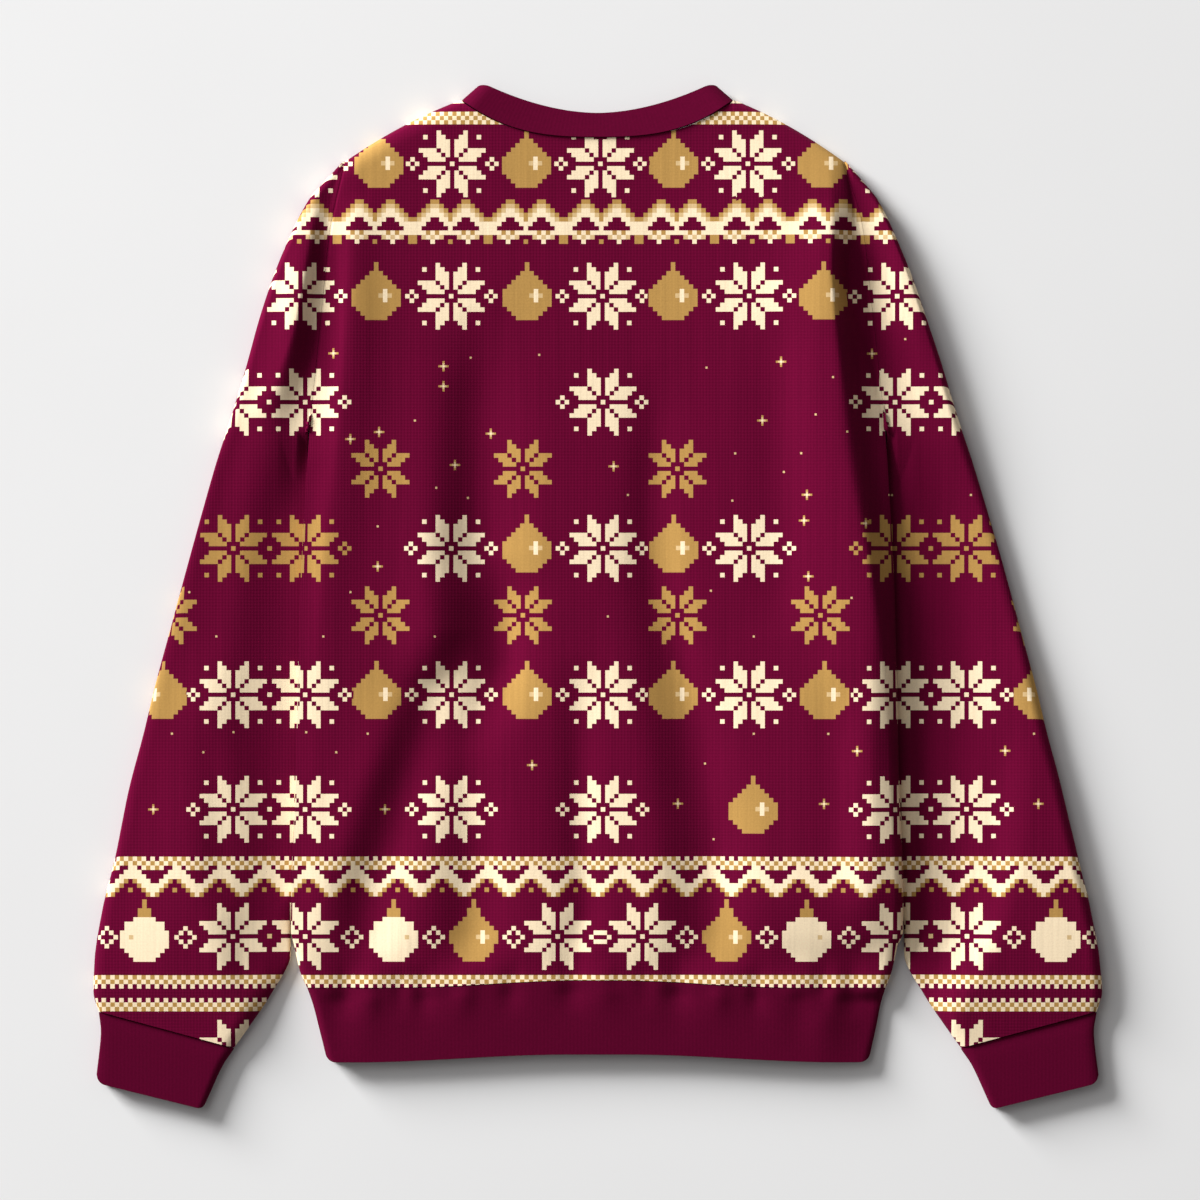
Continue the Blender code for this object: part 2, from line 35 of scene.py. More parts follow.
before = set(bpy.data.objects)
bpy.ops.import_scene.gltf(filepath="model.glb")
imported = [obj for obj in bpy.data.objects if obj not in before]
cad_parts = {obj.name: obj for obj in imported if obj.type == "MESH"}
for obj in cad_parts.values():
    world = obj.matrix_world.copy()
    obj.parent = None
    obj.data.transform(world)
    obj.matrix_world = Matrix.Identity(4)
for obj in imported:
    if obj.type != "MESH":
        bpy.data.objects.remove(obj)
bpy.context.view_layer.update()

mm = 0.001
seamGap = 0.3             # free space between sewn pieces
seamLip = 1.6             # upright strip beside a folded seam
lipStep = 1.2             # the same strip where the seam lies flat, measured in plan
borderStrip = 0.15        # narrow strip along every edge, so that shading turns only there

body = {
    "wall": 2.0,
    "hemY": -274.0,       # back and front end here, the waistband begins
    "hemBow": 5.2,        # the hem seam lies this much higher in the middle
    "bowEnd": 140.0,      # from here towards the middle it rises
    "bowWidth": 130.0,
    "bowTop": -200.0,     # rows above are straight
    "underarmY": 117.0,   # side seam below, armhole above
    "underarmSeam": 10.45,
    "shoulderY": 304.5,   # where shoulder seam and armhole meet
    "neckX": 96.0,        # side of the neckline, on the shoulder seam
    "neckY": 347.5,
    "shoulderBow": 3.3,
    "shoulderHeight": 5.0,
    "shoulderRoll": 12.0,
    "shoulderTilt": 0.88,
    "backNeckY": 321.3,
    "backNeckPower": 2.8,
    "frontNeckDrop": 90.0,
    "loft": 12.6,         # top of the back where nothing lifts it
    "leftLoft": 0.6,      # extra height over the tucked sleeves
    "rightLoft": 7.0,
    "sideCrest": 18.0,
    "leftFall": 62.0,
    "rightFall": 150.0,
    "loftRise": (-262.0, 60.0),   # the extra height begins here and grows over this length
    "loftFall": (335.0, 90.0),    # and ends here
    "hemLoft": 11.0,
    "hemBlend": 40.0,
    "frontRoll": 7.0,
    "tuckRamp": 24.0,
    "tuckMargin": 8.0,
    "armholeLift": 45.0,
    "underarmDrop": 2.2,
    "dropLength": 30.0,
    "lipStart": 0.12,     # share of the upright strip that stands at the underarm
    "lipLength": 24.0,    # and the length in which it grows whole
    "foldLength": 20.0,
    "armholeGap": 0.14,
    "neckWiden": 1.15,
    "neckStrip": 6.0,
    "neckPoint": 22.0,    # round the side of the neck the layers part by a little more
    "neckLift": 0.3,
}

# Sides of the body from the bottom of the waistband up to the shoulder: distance of each
# edge from the middle, height of its seam, how far the sleeve beneath lifts the front and
# how far in it reaches, the width in which the back turns down, how sharp its crest is,
# and on the right the share of the turn that is a valley floor and how far that sags.
bodyEdge = {
    "y":          [-326, -318, -300, -285, -274, -262, -245, -234, -200, -140, -60, 0, 60,
                   117, 173, 215, 257, 304.5],
    "left":       [189, 190.8, 195.5, 199.5, 203.4, 208.4, 212, 214.3, 214, 211.5, 209.5,
                   208, 205, 201.3, 195.7, 191.5, 187, 176.8],
    "right":      [189.5, 191.4, 195.6, 198.5, 201.9, 206.2, 210, 214, 214, 211.5, 209.5,
                   208, 205, 201.3, 195.7, 191, 186, 172.5],
    "leftSeam":   [4.3, 4.3, 4.4, 4.5, 4.7, 5.6, 8.0, 9.8, 10.45, 10.45, 10.45, 10.45,
                   10.45, 10.45, 10.2, 10.2, 11.4, 11],
    "rightSeam":  [4.3, 4.3, 4.4, 4.5, 4.7, 5.6, 8.0, 9.8, 10.45, 10.45, 10.45, 10.45,
                   10.45, 10.45, 7.6, 7.0, 10.2, 11],
    "lift":       [0, 0, 0, 0, 0, 0.6, 4.6, 6.4, 6.4, 6.4, 6.4, 6.4, 6.4, 6.4, 0, 0, 0, 0],
    "tuck":       [0, 0, 0, 0, 0, 0, 0, 4, 15, 35, 49, 33, 7, 2, 0, 0, 0, 0],
    "leftTurn":   [7, 7, 7, 7, 7, 8, 10, 12, 14, 14, 14, 15, 17, 20, 19, 17, 15, 13],
    "rightTurn":  [7, 7, 7, 7, 7, 8, 8, 8, 8, 8, 9, 14, 22, 27, 27, 26, 21, 14],
    "leftSharp":  [0, 0, 0, 0, 0, 0, 0.4, 0.8, 1, 1, 1, 1, 1, 1, 0.9, 0.8, 0.5, 0],
    "rightSharp": [0, 0, 0, 0, 0, 0, 0, 0, 0, 0, 0.2, 0.6, 0.9, 0.9, 0.9, 0.9, 0.7, 0],
    "floor":      [0, 0, 0, 0, 0, 0, 0, 0, 0, 0, 0, 0, 0, 0, 0.28, 0.64, 0.35, 0],
    "dip":        [0, 0, 0, 0, 0, 0, 0, 0, 0, 0, 0, 0, 0, 0, 1.4, 2.2, 0.4, 0],
}

# Creases of the back. Each is a line of points from low to high y: y, x, width of its
# left and right slope, and rise (a trough below 0).
backCreases = [
    # long fold left of the middle: a ridge, then a trough
    [(-60, -124, 20, 20, 0), (-20, -116, 20, 20, 4.0), (33, -118, 20, 20, 3.0),
     (110, -116, 20, 20, 1.4), (170, -112, 20, 20, 0)],
    [(-272, -91, 20, 22, -2.6), (-253, -90, 22, 22, -5.0), (-207, -86, 22, 22, -5.2),
     (-152, -87, 22, 22, -4.4), (-114, -89, 20, 22, -4.4), (-68, -76, 22, 22, -7.0),
     (-44, -70, 25, 20, -8.6), (-4, -70, 27, 22, -8.6), (33, -81, 25, 24, -7.2),
     (64, -81, 24, 26, -6.2), (132, -82, 22, 26, -5.0), (170, -80, 20, 24, -2.4),
     (205, -78, 18, 20, 0)],
    # its branch towards the left side
    [(-262, -188, 16, 16, 0), (-207, -184, 16, 16, 1.4), (-139, -164, 16, 16, 1.6),
     (-90, -146, 16, 16, 1.0), (-50, -134, 16, 16, 0)],
    [(-270, -163, 16, 18, -1.0), (-240, -162, 18, 20, -4.0), (-207, -159, 20, 22, -4.8),
     (-170, -146, 20, 22, -4.6), (-139, -137, 20, 22, -4.6), (-108, -126, 20, 22, -4.6),
     (-68, -113, 18, 18, -3.6), (-46, -101, 15, 14, -1.6), (-24, -96, 12, 10, 0)],
    # long fold right of the middle
    [(-262, 42, 18, 18, 0), (-200, 42, 18, 18, 1.4), (-130, 36, 18, 18, 1.4), (-60, 22, 16, 16, 0.8),
     (0, 14, 14, 14, 0)],
    [(-272, 81, 24, 18, -2.2), (-250, 80, 26, 20, -5.2), (-176, 80, 26, 20, -5.8),
     (-130, 73, 25, 20, -5.6), (-84, 66, 23, 19, -5.2), (-40, 54, 20, 18, -4.6),
     (8, 42, 17, 17, -4.0), (70, 39, 16, 17, -3.4), (122, 41, 15, 16, -2.0),
     (165, 40, 14, 14, 0)],
    # soft trough between them
    [(-268, -16, 14, 12, -1.6), (-253, -15, 14, 12, -3.0), (-216, -9, 14, 13, -3.2),
     (-145, -12, 14, 13, -3.0), (-84, -12, 14, 13, -2.0), (-40, -12, 14, 12, 0)],
    # soft troughs on the right
    [(-30, 128, 20, 16, 0), (10, 128, 20, 16, -2.2), (110, 127, 20, 16, -2.8),
     (165, 126, 20, 16, -2.0), (210, 126, 20, 16, 0)],
    [(-240, 166, 16, 14, 0), (-170, 167, 17, 14, -2.8), (-100, 167, 17, 14, -2.8),
     (-50, 165, 16, 14, 0)],
    # ridge along the left side
    [(-80, -194, 12, 18, 0), (8, -190, 12, 18, 1.4), (70, -184, 12, 20, 2.2), (132, -178, 12, 20, 2.8),
     (193, -173, 12, 18, 3.4), (250, -171, 12, 14, 2.2), (282, -168, 10, 12, 0)],
    # crest along the right side
    [(-250, 190, 26, 14, 0), (-200, 190, 30, 16, 3.6), (-110, 189, 34, 16, 5.6), (-60, 190, 36, 16, 6.0),
     (-22, 192, 38, 13, 7.4), (21, 190, 40, 11, 8.0), (70, 184, 40, 9, 8.4), (132, 174, 40, 9, 8.4),
     (193, 167, 38, 9, 7.6), (245, 164, 28, 9, 4.6), (276, 160, 16, 8, 0)],
]
# Short gathers above the waistband: x, half width, length up from the seam, rise.
hemGathers = [(-176, 8, 26, -2.2), (-158, 7, 18, 1.2), (-138, 6, 18, -1.4), (-122, 7, 22, -1.6),
              (-92, 7, 20, 1.2), (-60, 7, 20, -1.2), (-18, 9, 24, -1.8), (4, 8, 18, 1.2),
              (34, 7, 18, -1.0), (56, 10, 30, -2.2), (86, 7, 18, 1.0), (111, 6, 22, -1.4),
              (136, 8, 18, 0.8), (158, 7, 30, -1.8), (178, 8, 34, -2.0)]


def smooth(t):
    # ramp from 0 to 1 with level ends
    t = np.clip(t, 0.0, 1.0)
    return t * t * (3.0 - 2.0 * t)


def quarterRound(t):
    # rise of a quarter circle: upright at 0, level from 1
    t = np.clip(t, 0.0, 1.0)
    return np.sqrt(1.0 - (1.0 - t) ** 2)


def straightRise(t):
    # straight from 0 up to 1, with a small round at the top
    return 0.5 * (t + 1.0 - np.sqrt((t - 1.0) ** 2 + 0.012))


def through(places, values, at):
    # smooth curve through a table's rows that never goes past their values
    places = np.asarray(places, dtype=float)
    values = np.asarray(values, dtype=float)
    steps = np.diff(places)
    slopes = np.diff(values) / steps
    product = slopes[:-1] * slopes[1:]
    total = slopes[:-1] + slopes[1:]
    bends = np.zeros_like(values)
    bends[0] = slopes[0]
    bends[-1] = slopes[-1]
    bends[1:-1] = np.where(product > 0, 2 * product / np.where(total == 0, 1, total), 0)
    row = np.clip(np.searchsorted(places, at, side="right") - 1, 0, len(steps) - 1)
    t = (at - places[row]) / steps[row]
    near = (1 + 2 * t) * (1 - t) ** 2 * values[row] + t * (1 - t) ** 2 * steps[row] * bends[row]
    far = t * t * (3 - 2 * t) * values[row + 1] - t * t * (1 - t) * steps[row] * bends[row + 1]
    return near + far


def edgeValue(column, y):
    # the edge table's column, read at height y
    return through(bodyEdge["y"], bodyEdge[column], y)


def sideValue(column, x, y):
    # the left or right column of the edge table, by the sign of x
    return np.where(x < 0, edgeValue("left" + column, y), edgeValue("right" + column, y))


def creaseHeight(creases, x, y):
    # across its line a crease follows a bell curve, with its own width on each side
    total = np.zeros(np.broadcast(x, y).shape)
    for crease in creases:
        rows = np.array(crease, dtype=float).T
        at = np.clip(y, rows[0, 0], rows[0, -1])
        offset = x - through(rows[0], rows[1], at)
        width = np.where(offset < 0, through(rows[0], rows[2], at), through(rows[0], rows[3], at))
        fade = smooth((y - rows[0, 0]) / 8 + 1) * smooth((rows[0, -1] - y) / 8 + 1)
        total += through(rows[0], rows[4], at) * np.exp(-(offset / width) ** 2) * fade
    return total


def gatherHeight(gathers, x, up):
    # bells along the seam that fade out with the distance up from it
    total = np.zeros(np.broadcast(x, up).shape)
    for place, width, length, rise in gathers:
        fade = smooth(1 - np.abs(up) / length)
        total += rise * np.exp(-((x - place) / (width * (1 + 0.4 * np.abs(up) / length))) ** 2) * fade
    return total


def shoulderLine(x):
    # y of the shoulder seam, from the side of the neck out to the armhole
    end = np.where(x < 0, bodyEdge["left"][-1], bodyEdge["right"][-1])
    t = np.clip((np.abs(x) - body["neckX"]) / (end - body["neckX"]), 0, None)
    fall = body["shoulderY"] - body["neckY"]
    return body["neckY"] + fall * t + body["shoulderBow"] * 4 * t * (1 - t)


def backNeckline(x):
    # from its middle the line rises with a power of the distance to the side of the neck
    rise = body["neckY"] - body["backNeckY"]
    return body["backNeckY"] + rise * np.abs(x / body["neckX"]) ** body["backNeckPower"]


def frontNeckline(x):
    # half an ellipse that hangs from the sides of the neck
    return body["neckY"] - body["frontNeckDrop"] * np.sqrt(np.clip(1 - (x / body["neckX"]) ** 2, 0, 1))


def shoulderRound(x, y, height, seamHeight):
    # brings a surface to the height of the shoulder seam along the shoulder
    across = np.clip(body["neckX"] - np.abs(x), 0, None)
    down = np.clip(shoulderLine(x) - y, 0, None) * body["shoulderTilt"]
    return seamHeight + (height - seamHeight) * quarterRound(np.hypot(across, down) / body["shoulderRoll"])


def hemBow(x):
    # rise of the hem seam over a straight line: level in the middle, a smooth ramp each side
    return body["hemBow"] * smooth((body["bowEnd"] - np.abs(x)) / body["bowWidth"])


def sideDistance(x, y):
    # distance across from the nearer side edge
    return np.minimum(x + edgeValue("left", y), edgeValue("right", y) - x)


def backHeight(x, y):
    # a low loft, high sides over the sleeves, the creases, and gathers at the hem
    fromSide = sideDistance(x, y)
    (low, lowLength), (high, highLength) = body["loftRise"], body["loftFall"]
    lengthwise = smooth((y - low) / lowLength) * smooth((high - y) / highLength)
    reach = (fromSide - body["sideCrest"]) / np.where(x < 0, body["leftFall"], body["rightFall"])
    sides = np.where(x < 0, body["leftLoft"], body["rightLoft"]) * (1 - smooth(reach))
    height = body["loft"] + sides * lengthwise + creaseHeight(backCreases, x, y)
    hem = smooth((y - body["hemY"]) / body["hemBlend"])
    height = body["hemLoft"] + (height - body["hemLoft"]) * hem
    return height + gatherHeight(hemGathers, x, y - body["hemY"] - hemBow(x))


def frontHeight(x, y):
    # on the ground, and lifted where it lies on a sleeve
    inner = body["tuckRamp"] + body["tuckMargin"] + edgeValue("tuck", y)
    return edgeValue("lift", y) * smooth((inner - sideDistance(x, y)) / body["tuckRamp"])


def armholeLow(y):
    # underside of the armhole seam: on the ground, and up near the side seam at its foot
    top = body["underarmSeam"] - seamGap / 2 - body["underarmDrop"]
    return top * (1 - quarterRound((y - body["underarmY"]) / body["armholeLift"]))


def rollPlaces(roll, angles):
    # distances from the edge, in plan, of points at these angles round a quarter circle
    return roll * (1 - np.cos(np.radians(angles)))


def rollExtra(distance, roll):
    # how much longer the cloth is than its plan where it turns down in a quarter circle
    inward = np.clip(1 - distance / roll, 0, 1)
    return roll * (np.arcsin(inward) - inward)


def panelGrid(layer, values):
    # A body panel from its hem seam to its shoulders and neckline. Each row runs from edge
    # to edge; rows above the underarm bend to end on the shoulder line and neckline. Beside
    # a folded seam the first strip is upright, beside the armhole it is level.
    under = body["underarmY"]
    height = body["shoulderY"] - under
    below = np.linspace(body["hemY"] + seamGap, under, values["rowsBelow"])
    near = rollPlaces(body["shoulderRoll"], np.linspace(84, 36, values["rollRows"]))
    above = np.concatenate([np.linspace(height, near[0], values["rowsAbove"])[1:], near[1:], [0, 0]])
    sideY = np.concatenate([below, body["shoulderY"] - above])
    onFold = sideY < under + 0.01
    inset = np.where(sideY < under - 0.01, 0.0, body["armholeGap"] / 2)
    upper = np.clip((sideY - under) / height, 0, 1)[:, None]
    angles = np.concatenate([[0, 0, 7], np.linspace(values["lipAngle"], 90, values["rollColumns"])])
    step = np.linspace(-1, 1, values["neckColumns"] + 1)
    lower = body["neckWiden"] * body["neckX"] * step
    middle = lower + (np.sin(step * np.pi / 2) * body["neckX"] - lower) * upper
    sides = []
    for side in ("left", "right"):
        turn = edgeValue(side + "Turn", sideY) if layer > 0 else np.full_like(sideY, body["frontRoll"])
        turned = rollPlaces(turn[:, None], angles)
        turned[:, 1] = np.where(onFold, 0.0, lipStep)
        turned[:, 2] = np.where(onFold, turned[:, 2], 0.5 * (lipStep + turned[:, 3]))
        edge = edgeValue(side, sideY) - inset
        limit = edge - np.abs(middle[:, 0])
        share = np.linspace(0, 1, values["sideColumns"] + 1)[1:-1]
        slope = turn[:, None] + (limit - turn)[:, None] * share
        sides.append(edge[:, None] - np.concatenate([turned, slope], axis=1))
    x = np.concatenate([-sides[0], middle, sides[1][:, ::-1]], axis=1)

    topX = x[-1]
    onNeck = np.abs(topX) < body["neckX"] - 0.01
    neckline = backNeckline(topX) if layer > 0 else frontNeckline(topX)
    topY = np.where(onNeck, neckline - seamGap / 2, shoulderLine(topX))
    y = np.where(upper > 0, under + (topY - under) * upper, sideY[:, None])
    y[-2] = np.where(onNeck, topY - lipStep, topY)
    tableY = sideY[:, None]
    y = y + hemBow(x) * smooth((body["bowTop"] - tableY) / (body["bowTop"] - body["hemY"]))

    seam = sideValue("Seam", x, tableY)
    fromSide = np.minimum(x - x[:, :1], x[:, -1:] - x)
    fold = onFold[:, None]
    if layer > 0:
        edge = seam + seamGap / 2
        level = backHeight(x, y)
        turn = sideValue("Turn", x, tableY)
        ground = np.where(x < 0, 0.0, edgeValue("floor", tableY))
        sharp = sideValue("Sharp", x, tableY)
        climb = (fromSide / turn - ground) / (1 - ground)
        share = quarterRound(climb)
        share = share + (straightRise(climb) - share) * sharp * (climb > 0) * (climb < 1.6)
        share = np.clip(share, 0, 1)
        onFloor = np.clip(fromSide / np.maximum(turn * ground, 0.1), 0, 1)
        sag = np.where(x < 0, 0.0, edgeValue("dip", tableY)) * 4 * onFloor * (1 - onFloor)
    else:
        drop = body["underarmDrop"] * smooth((tableY - under) / body["dropLength"] + 1)
        edge = np.where(fold, seam - seamGap / 2 - drop, armholeLow(tableY))
        level = frontHeight(x, y)
        share = quarterRound(fromSide / body["frontRoll"])
        sag = 0.0
    lip = body["lipStart"] + (1 - body["lipStart"]) * smooth((under - tableY) / body["lipLength"])
    start = edge + np.where(fold, layer * seamLip * lip, 0.0)
    z = start + (level - start) * share - sag
    for column, first in ((0, True), (-1, True), (1, False), (-2, False)):
        z[:, column] = np.where(onFold & (not first), z[:, column], edge[:, column])

    fromNeck = body["neckX"] - np.abs(x)
    besideNeck = np.clip(1 - fromNeck / body["neckStrip"], 0, 1)
    neckPoint = np.clip(1 - np.abs(fromNeck) / body["neckPoint"], 0, 1)
    seamHeight = body["shoulderHeight"] + layer * (seamGap / 2 + body["neckLift"] * neckPoint)
    z = shoulderRound(x, y, z, seamHeight + layer * seamLip * besideNeck)
    z[-1] = np.where(onNeck, z[-1], seamHeight[-1])
    folded = smooth((under - tableY) / body["foldLength"] + 1)
    flatX = x + np.sign(x) * rollExtra(fromSide, body["frontRoll"]) * folded
    return np.stack([x, y, z], axis=2), np.stack([flatX, y], axis=2)


# Sections of a sleeve from the armhole (0) to the cuff seam (17), each a line across the
# sleeve from its outer to its inner fold. "trim" narrows the right sleeve's outer fold,
# "fold" is the height of the inner fold, "roll" the width it turns in, and "slope" the
# share of the left sleeve's fall towards its outer fold.
sleeveSections = {
    "outerX": [176.8, 200, 220, 235, 247, 257, 267, 277, 288, 299, 309, 318, 328,
               338, 346.5, 352, 352.8, 349],
    "outerY": [304.5, 280.6, 241.5, 200, 157, 124, 93, 58, 18, -23, -60, -97, -135,
               -184.5, -219, -254, -276, -290.5],
    "innerX": [201.3, 202.9, 203, 201.4, 198, 192, 183.5, 174, 166, 164, 170,
               181, 195, 214.8, 215, 229, 242, 254.5],
    "innerY": [117, 100, 82, 64, 46, 28, 10, -8, -32, -68, -108, -148, -185, -231,
               -251, -279, -298.5, -316],
    "trim":   [4.3, 5.6, 6.6, 6.3, 4.2, 4.2, 4, 3.4, 2.8, 2.8, 2.8, 2.8, 2.8, 1,
               1.2, 0.4, -0.6, -0.6],
    "fold":   [10.45, 4.2, 3.2, 3, 3, 3, 3, 3, 3, 3, 3, 3, 3, 3.2, 4.2, 4.8, 5, 5],
    "roll":   [6, 4, 3, 3, 3, 3, 3, 3, 3, 3, 3, 4, 7, 13, 17, 17, 13, 9],
    "crown":  [14, 14.5, 15, 15, 15, 15, 14.6, 14.4, 14.2, 14, 14, 14.2, 14.6, 15,
               14.8, 14, 12.4, 10.6],
    "slope":  [0.3, 0.3, 0.4, 0.5, 0.7, 0.9, 1, 1, 1, 1, 1, 1, 1, 1, 0.8, 0.5, 0.2, 0],
}
sleeve = {
    "wall": 2.0,
    "tucked": 5.9,        # top of a sleeve where the body lies on it
    "join": 13.0,         # below the armhole it goes under the body over this length
    "groove": [(70.0, 22.0), (48.0, 9.0)],   # and opens beside it: lengths and widths
    "leftEdge": 9.0,      # heights of the outer folds
    "rightEdge": 8.0,
    "roll": 8.0,
    "leftDrop": 3.5,      # the left one falls this far towards its outer fold,
    "dropWidth": 62.0,    # over this width, where it is higher than this
    "dropFrom": 7.0,
    "rows": 196,
    "topColumns": 76,
    "lowColumns": 36,
    "rollColumns": 9,
    "plainFrom": 95,      # the print ends at the outer fold, the side on the floor is plain
}
# Flat width beside the body before a sleeve rises, and the width of its rise, by y.
sleeveRise = {
    "y":          [-360, -200, -100, 0, 60, 110, 150, 200, 260, 320],
    "leftShelf":  [4, 6, 8, 8, 8, 6, 3, 1, 0, 0],
    "leftRise":   [40, 60, 66, 68, 64, 52, 26, 16, 14, 24],
    "rightShelf": [16, 32, 36, 36, 28, 16, 6, 0, 0, 0],
    "rightRise":  [24, 50, 62, 60, 54, 48, 40, 30, 24, 24],
}
sleeveCreases = {
    -1: [
        # crest beside the armhole
        [(20, -232, 18, 14, 0), (100, -220, 17, 14, 2.4), (160, -212, 16, 13, 4.2),
         (210, -208, 16, 12, 4.6), (250, -203, 14, 11, 3.2), (275, -199, 12, 9, 0)],
        [(-70, -276, 16, 14, 0), (-20, -270, 16, 14, -1.8), (60, -262, 15, 13, -2.0),
         (110, -252, 15, 12, -1.2), (150, -244, 14, 12, 0)],
        [(-225, -262, 15, 12, 0), (-180, -264, 15, 12, -2.0), (-120, -270, 15, 12, -2.0),
         (-80, -274, 15, 12, 0)],
        [(-290, -244, 12, 12, -0.5), (-262, -246, 12, 12, -1.8), (-225, -242, 12, 12, -1.0),
         (-195, -240, 12, 12, 0)],
    ],
    1: [
        [(-60, 292, 14, 12, 0), (0, 286, 14, 12, -1.4), (60, 274, 14, 12, -1.4),
         (120, 262, 14, 12, 0)],
        [(-240, 272, 14, 12, 0), (-190, 276, 14, 12, -1.8), (-130, 280, 14, 12, -1.8),
         (-80, 284, 14, 12, 0)],
    ],
}

cuffSections = {
    "outerX": [349, 347.6, 350.6],
    "outerY": [-290.5, -306, -340],
    "innerX": [254.5, 261, 274.5],
    "innerY": [-316, -327, -358.8],
    "trim":   [-0.6, 0, -0.2],
    "fold":   [5, 4.8, 4.6],
    "roll":   [8, 7, 6],
    "crown":  [9.2, 9.8, 10],
    "slope":  [0, 0, 0],
}
cuff = {
    "wall": 2.4,
    "gap": 0.51,          # moved this far down from the sleeve's end
    "corner": 6.0,
    "rows": 22,
    "topColumns": 40,
    "lowColumns": 24,
    "rollColumns": 8,
}


def section(table, column, k):
    # a column of a table of sections, read between its rows
    return through(np.arange(len(table[column])), table[column], k)


def loopStations(innerRoll, width, values):
    # Distances from the outer fold of the points round each section: from the inner fold
    # over the top to the outer fold, and back below. Also 1 above and -1 below.
    angles = np.concatenate([[0], np.linspace(24, 90, values["rollColumns"])])
    inner = width - rollPlaces(innerRoll, angles)
    outer = rollPlaces(sleeve["roll"], angles) + 0 * width
    flats = []
    for columns in (values["topColumns"], values["lowColumns"]):
        share = np.linspace(0, 1, columns + 1)[1:-1]
        flats.append(outer[:, -1:] + (inner[:, -1:] - outer[:, -1:]) * share)
    above = np.concatenate([inner, flats[0][:, ::-1], outer[:, ::-1]], axis=1)
    below = np.concatenate([outer[:, 1:], flats[1], inner[:, :0:-1]], axis=1)
    layer = np.concatenate([np.ones(above.shape[1]), -np.ones(below.shape[1])])
    return np.concatenate([above, below], axis=1), layer


def sleeveTop(x, y, side, crown):
    # a shelf beside or under the body, then a rise to the sleeve's crown
    name = "left" if side < 0 else "right"
    beside = np.abs(x) - sideValue("", side, y)
    up = y - body["underarmY"]
    joined = smooth(up / sleeve["join"] + 1)
    for length, width in sleeve["groove"]:
        joined = np.maximum(joined, smooth(up / length + 1) * smooth(beside / width))
    seam = sideValue("Seam", side, y) + seamGap / 2
    shelf = sleeve["tucked"] + (seam - sleeve["tucked"]) * joined
    start = through(sleeveRise["y"], sleeveRise[name + "Shelf"], y)
    width = through(sleeveRise["y"], sleeveRise[name + "Rise"], y)
    rise = smooth((beside - start) / width)
    return shelf + (crown - shelf + creaseHeight(sleeveCreases[side], x, y)) * rise


def armholeBow(side, w):
    # how far the armhole lies outside the straight line between its ends
    y = body["shoulderY"] + (body["underarmY"] - body["shoulderY"]) * w
    start = sideValue("", side, body["shoulderY"])
    straight = start + (sleeveSections["innerX"][0] - start) * w
    return sideValue("", side, y) + body["armholeGap"] * 0.8 - straight


def armholeSlope(side, w):
    # change of x with y along the armhole
    near = np.clip(w - 0.002, 0, 1)
    far = np.clip(w + 0.002, 0, 1)
    run = (body["underarmY"] - body["shoulderY"]) * (far - near)
    straight = (sleeveSections["innerX"][0] - sleeveSections["outerX"][0]) * (far - near)
    return (armholeBow(side, far) - armholeBow(side, near) + straight) / run


def tubeGrid(table, side, values):
    # A sleeve or cuff: a row for each section, a column for each station round it.
    k = np.linspace(0, len(table["outerX"]) - 1, values["rows"])[:, None]
    at = {column: section(table, column, k) for column in table}
    trim = side > 0
    outerX = at["outerX"] - trim * at["trim"]
    acrossX = at["innerX"] - outerX
    acrossY = at["innerY"] - at["outerY"]
    width = np.hypot(acrossX, acrossY)
    distance, layer = loopStations(at["roll"], width, values)
    w = distance / width
    x = side * (outerX + acrossX * w)
    y = at["outerY"] + acrossY * w
    isSleeve = table is sleeveSections
    if isSleeve:
        # straight from the strip beside the armhole to the first section
        bow = armholeBow(side, w)
        slope = armholeSlope(side, w)
        startX = side * (outerX[0] + acrossX[0] * w + bow + lipStep)
        startY = at["outerY"][0] + acrossY[0] * w - lipStep * slope
        firstX = table["outerX"][1] - trim * table["trim"][1]
        endX = side * (firstX + (table["innerX"][1] - firstX) * w + 0.5 * bow)
        endY = table["outerY"][1] + (table["innerY"][1] - table["outerY"][1]) * w
        near = (k > 0) & (k < 1)
        x = np.where(near, startX + (endX - startX) * k, x + side * bow * (1 - smooth(k / 2)))
        y = np.where(near, startY + (endY - startY) * k, y)
        height = sleeveTop(x, y, side, at["crown"])
        lowest = armholeLow(y) * np.clip(1 - k, 0, 1)
    else:
        fromEnd = np.minimum(distance, width - distance)
        rounded = values["corner"] * (1 - quarterRound(fromEnd / values["corner"]))
        y = y + rounded * np.linspace(0, 1, len(k))[:, None] ** 2 - values["gap"]
        height = at["crown"]
        lowest = 0.0
    if side < 0:
        drop = sleeve["leftDrop"] * at["slope"] * (1 - smooth(distance / sleeve["dropWidth"]))
        height = height - drop * smooth(height / sleeve["dropFrom"] - 1)
    level = np.where(layer > 0, height, lowest)
    edgeHeight = sleeve["leftEdge" if side < 0 else "rightEdge"]
    z = edgeHeight + (level - edgeHeight) * quarterRound(distance / sleeve["roll"])
    z = at["fold"] + (z - at["fold"]) * quarterRound((width - distance) / at["roll"])
    extra = rollExtra(distance, sleeve["roll"]) / width
    flat = np.stack([x - side * acrossX * extra, y - acrossY * extra], axis=2)
    if isSleeve:
        seam = np.where(layer > 0, sideValue("Seam", side, y[0]) + seamGap / 2, armholeLow(y[0]))
        seam = np.where(w[0] > 0.999, at["fold"][0], seam)
        z[0] = shoulderRound(x[0], y[0], seam, body["shoulderHeight"])
        x = np.concatenate([x[:1], x[:1] + side * lipStep, x[1:]])
        y = np.concatenate([y[:1], y[:1] - lipStep * slope[:1], y[1:]])
        z = np.concatenate([z[:1], z])
        flat = np.concatenate([flat[:1], flat])
    return np.stack([x, y, z], axis=2), flat


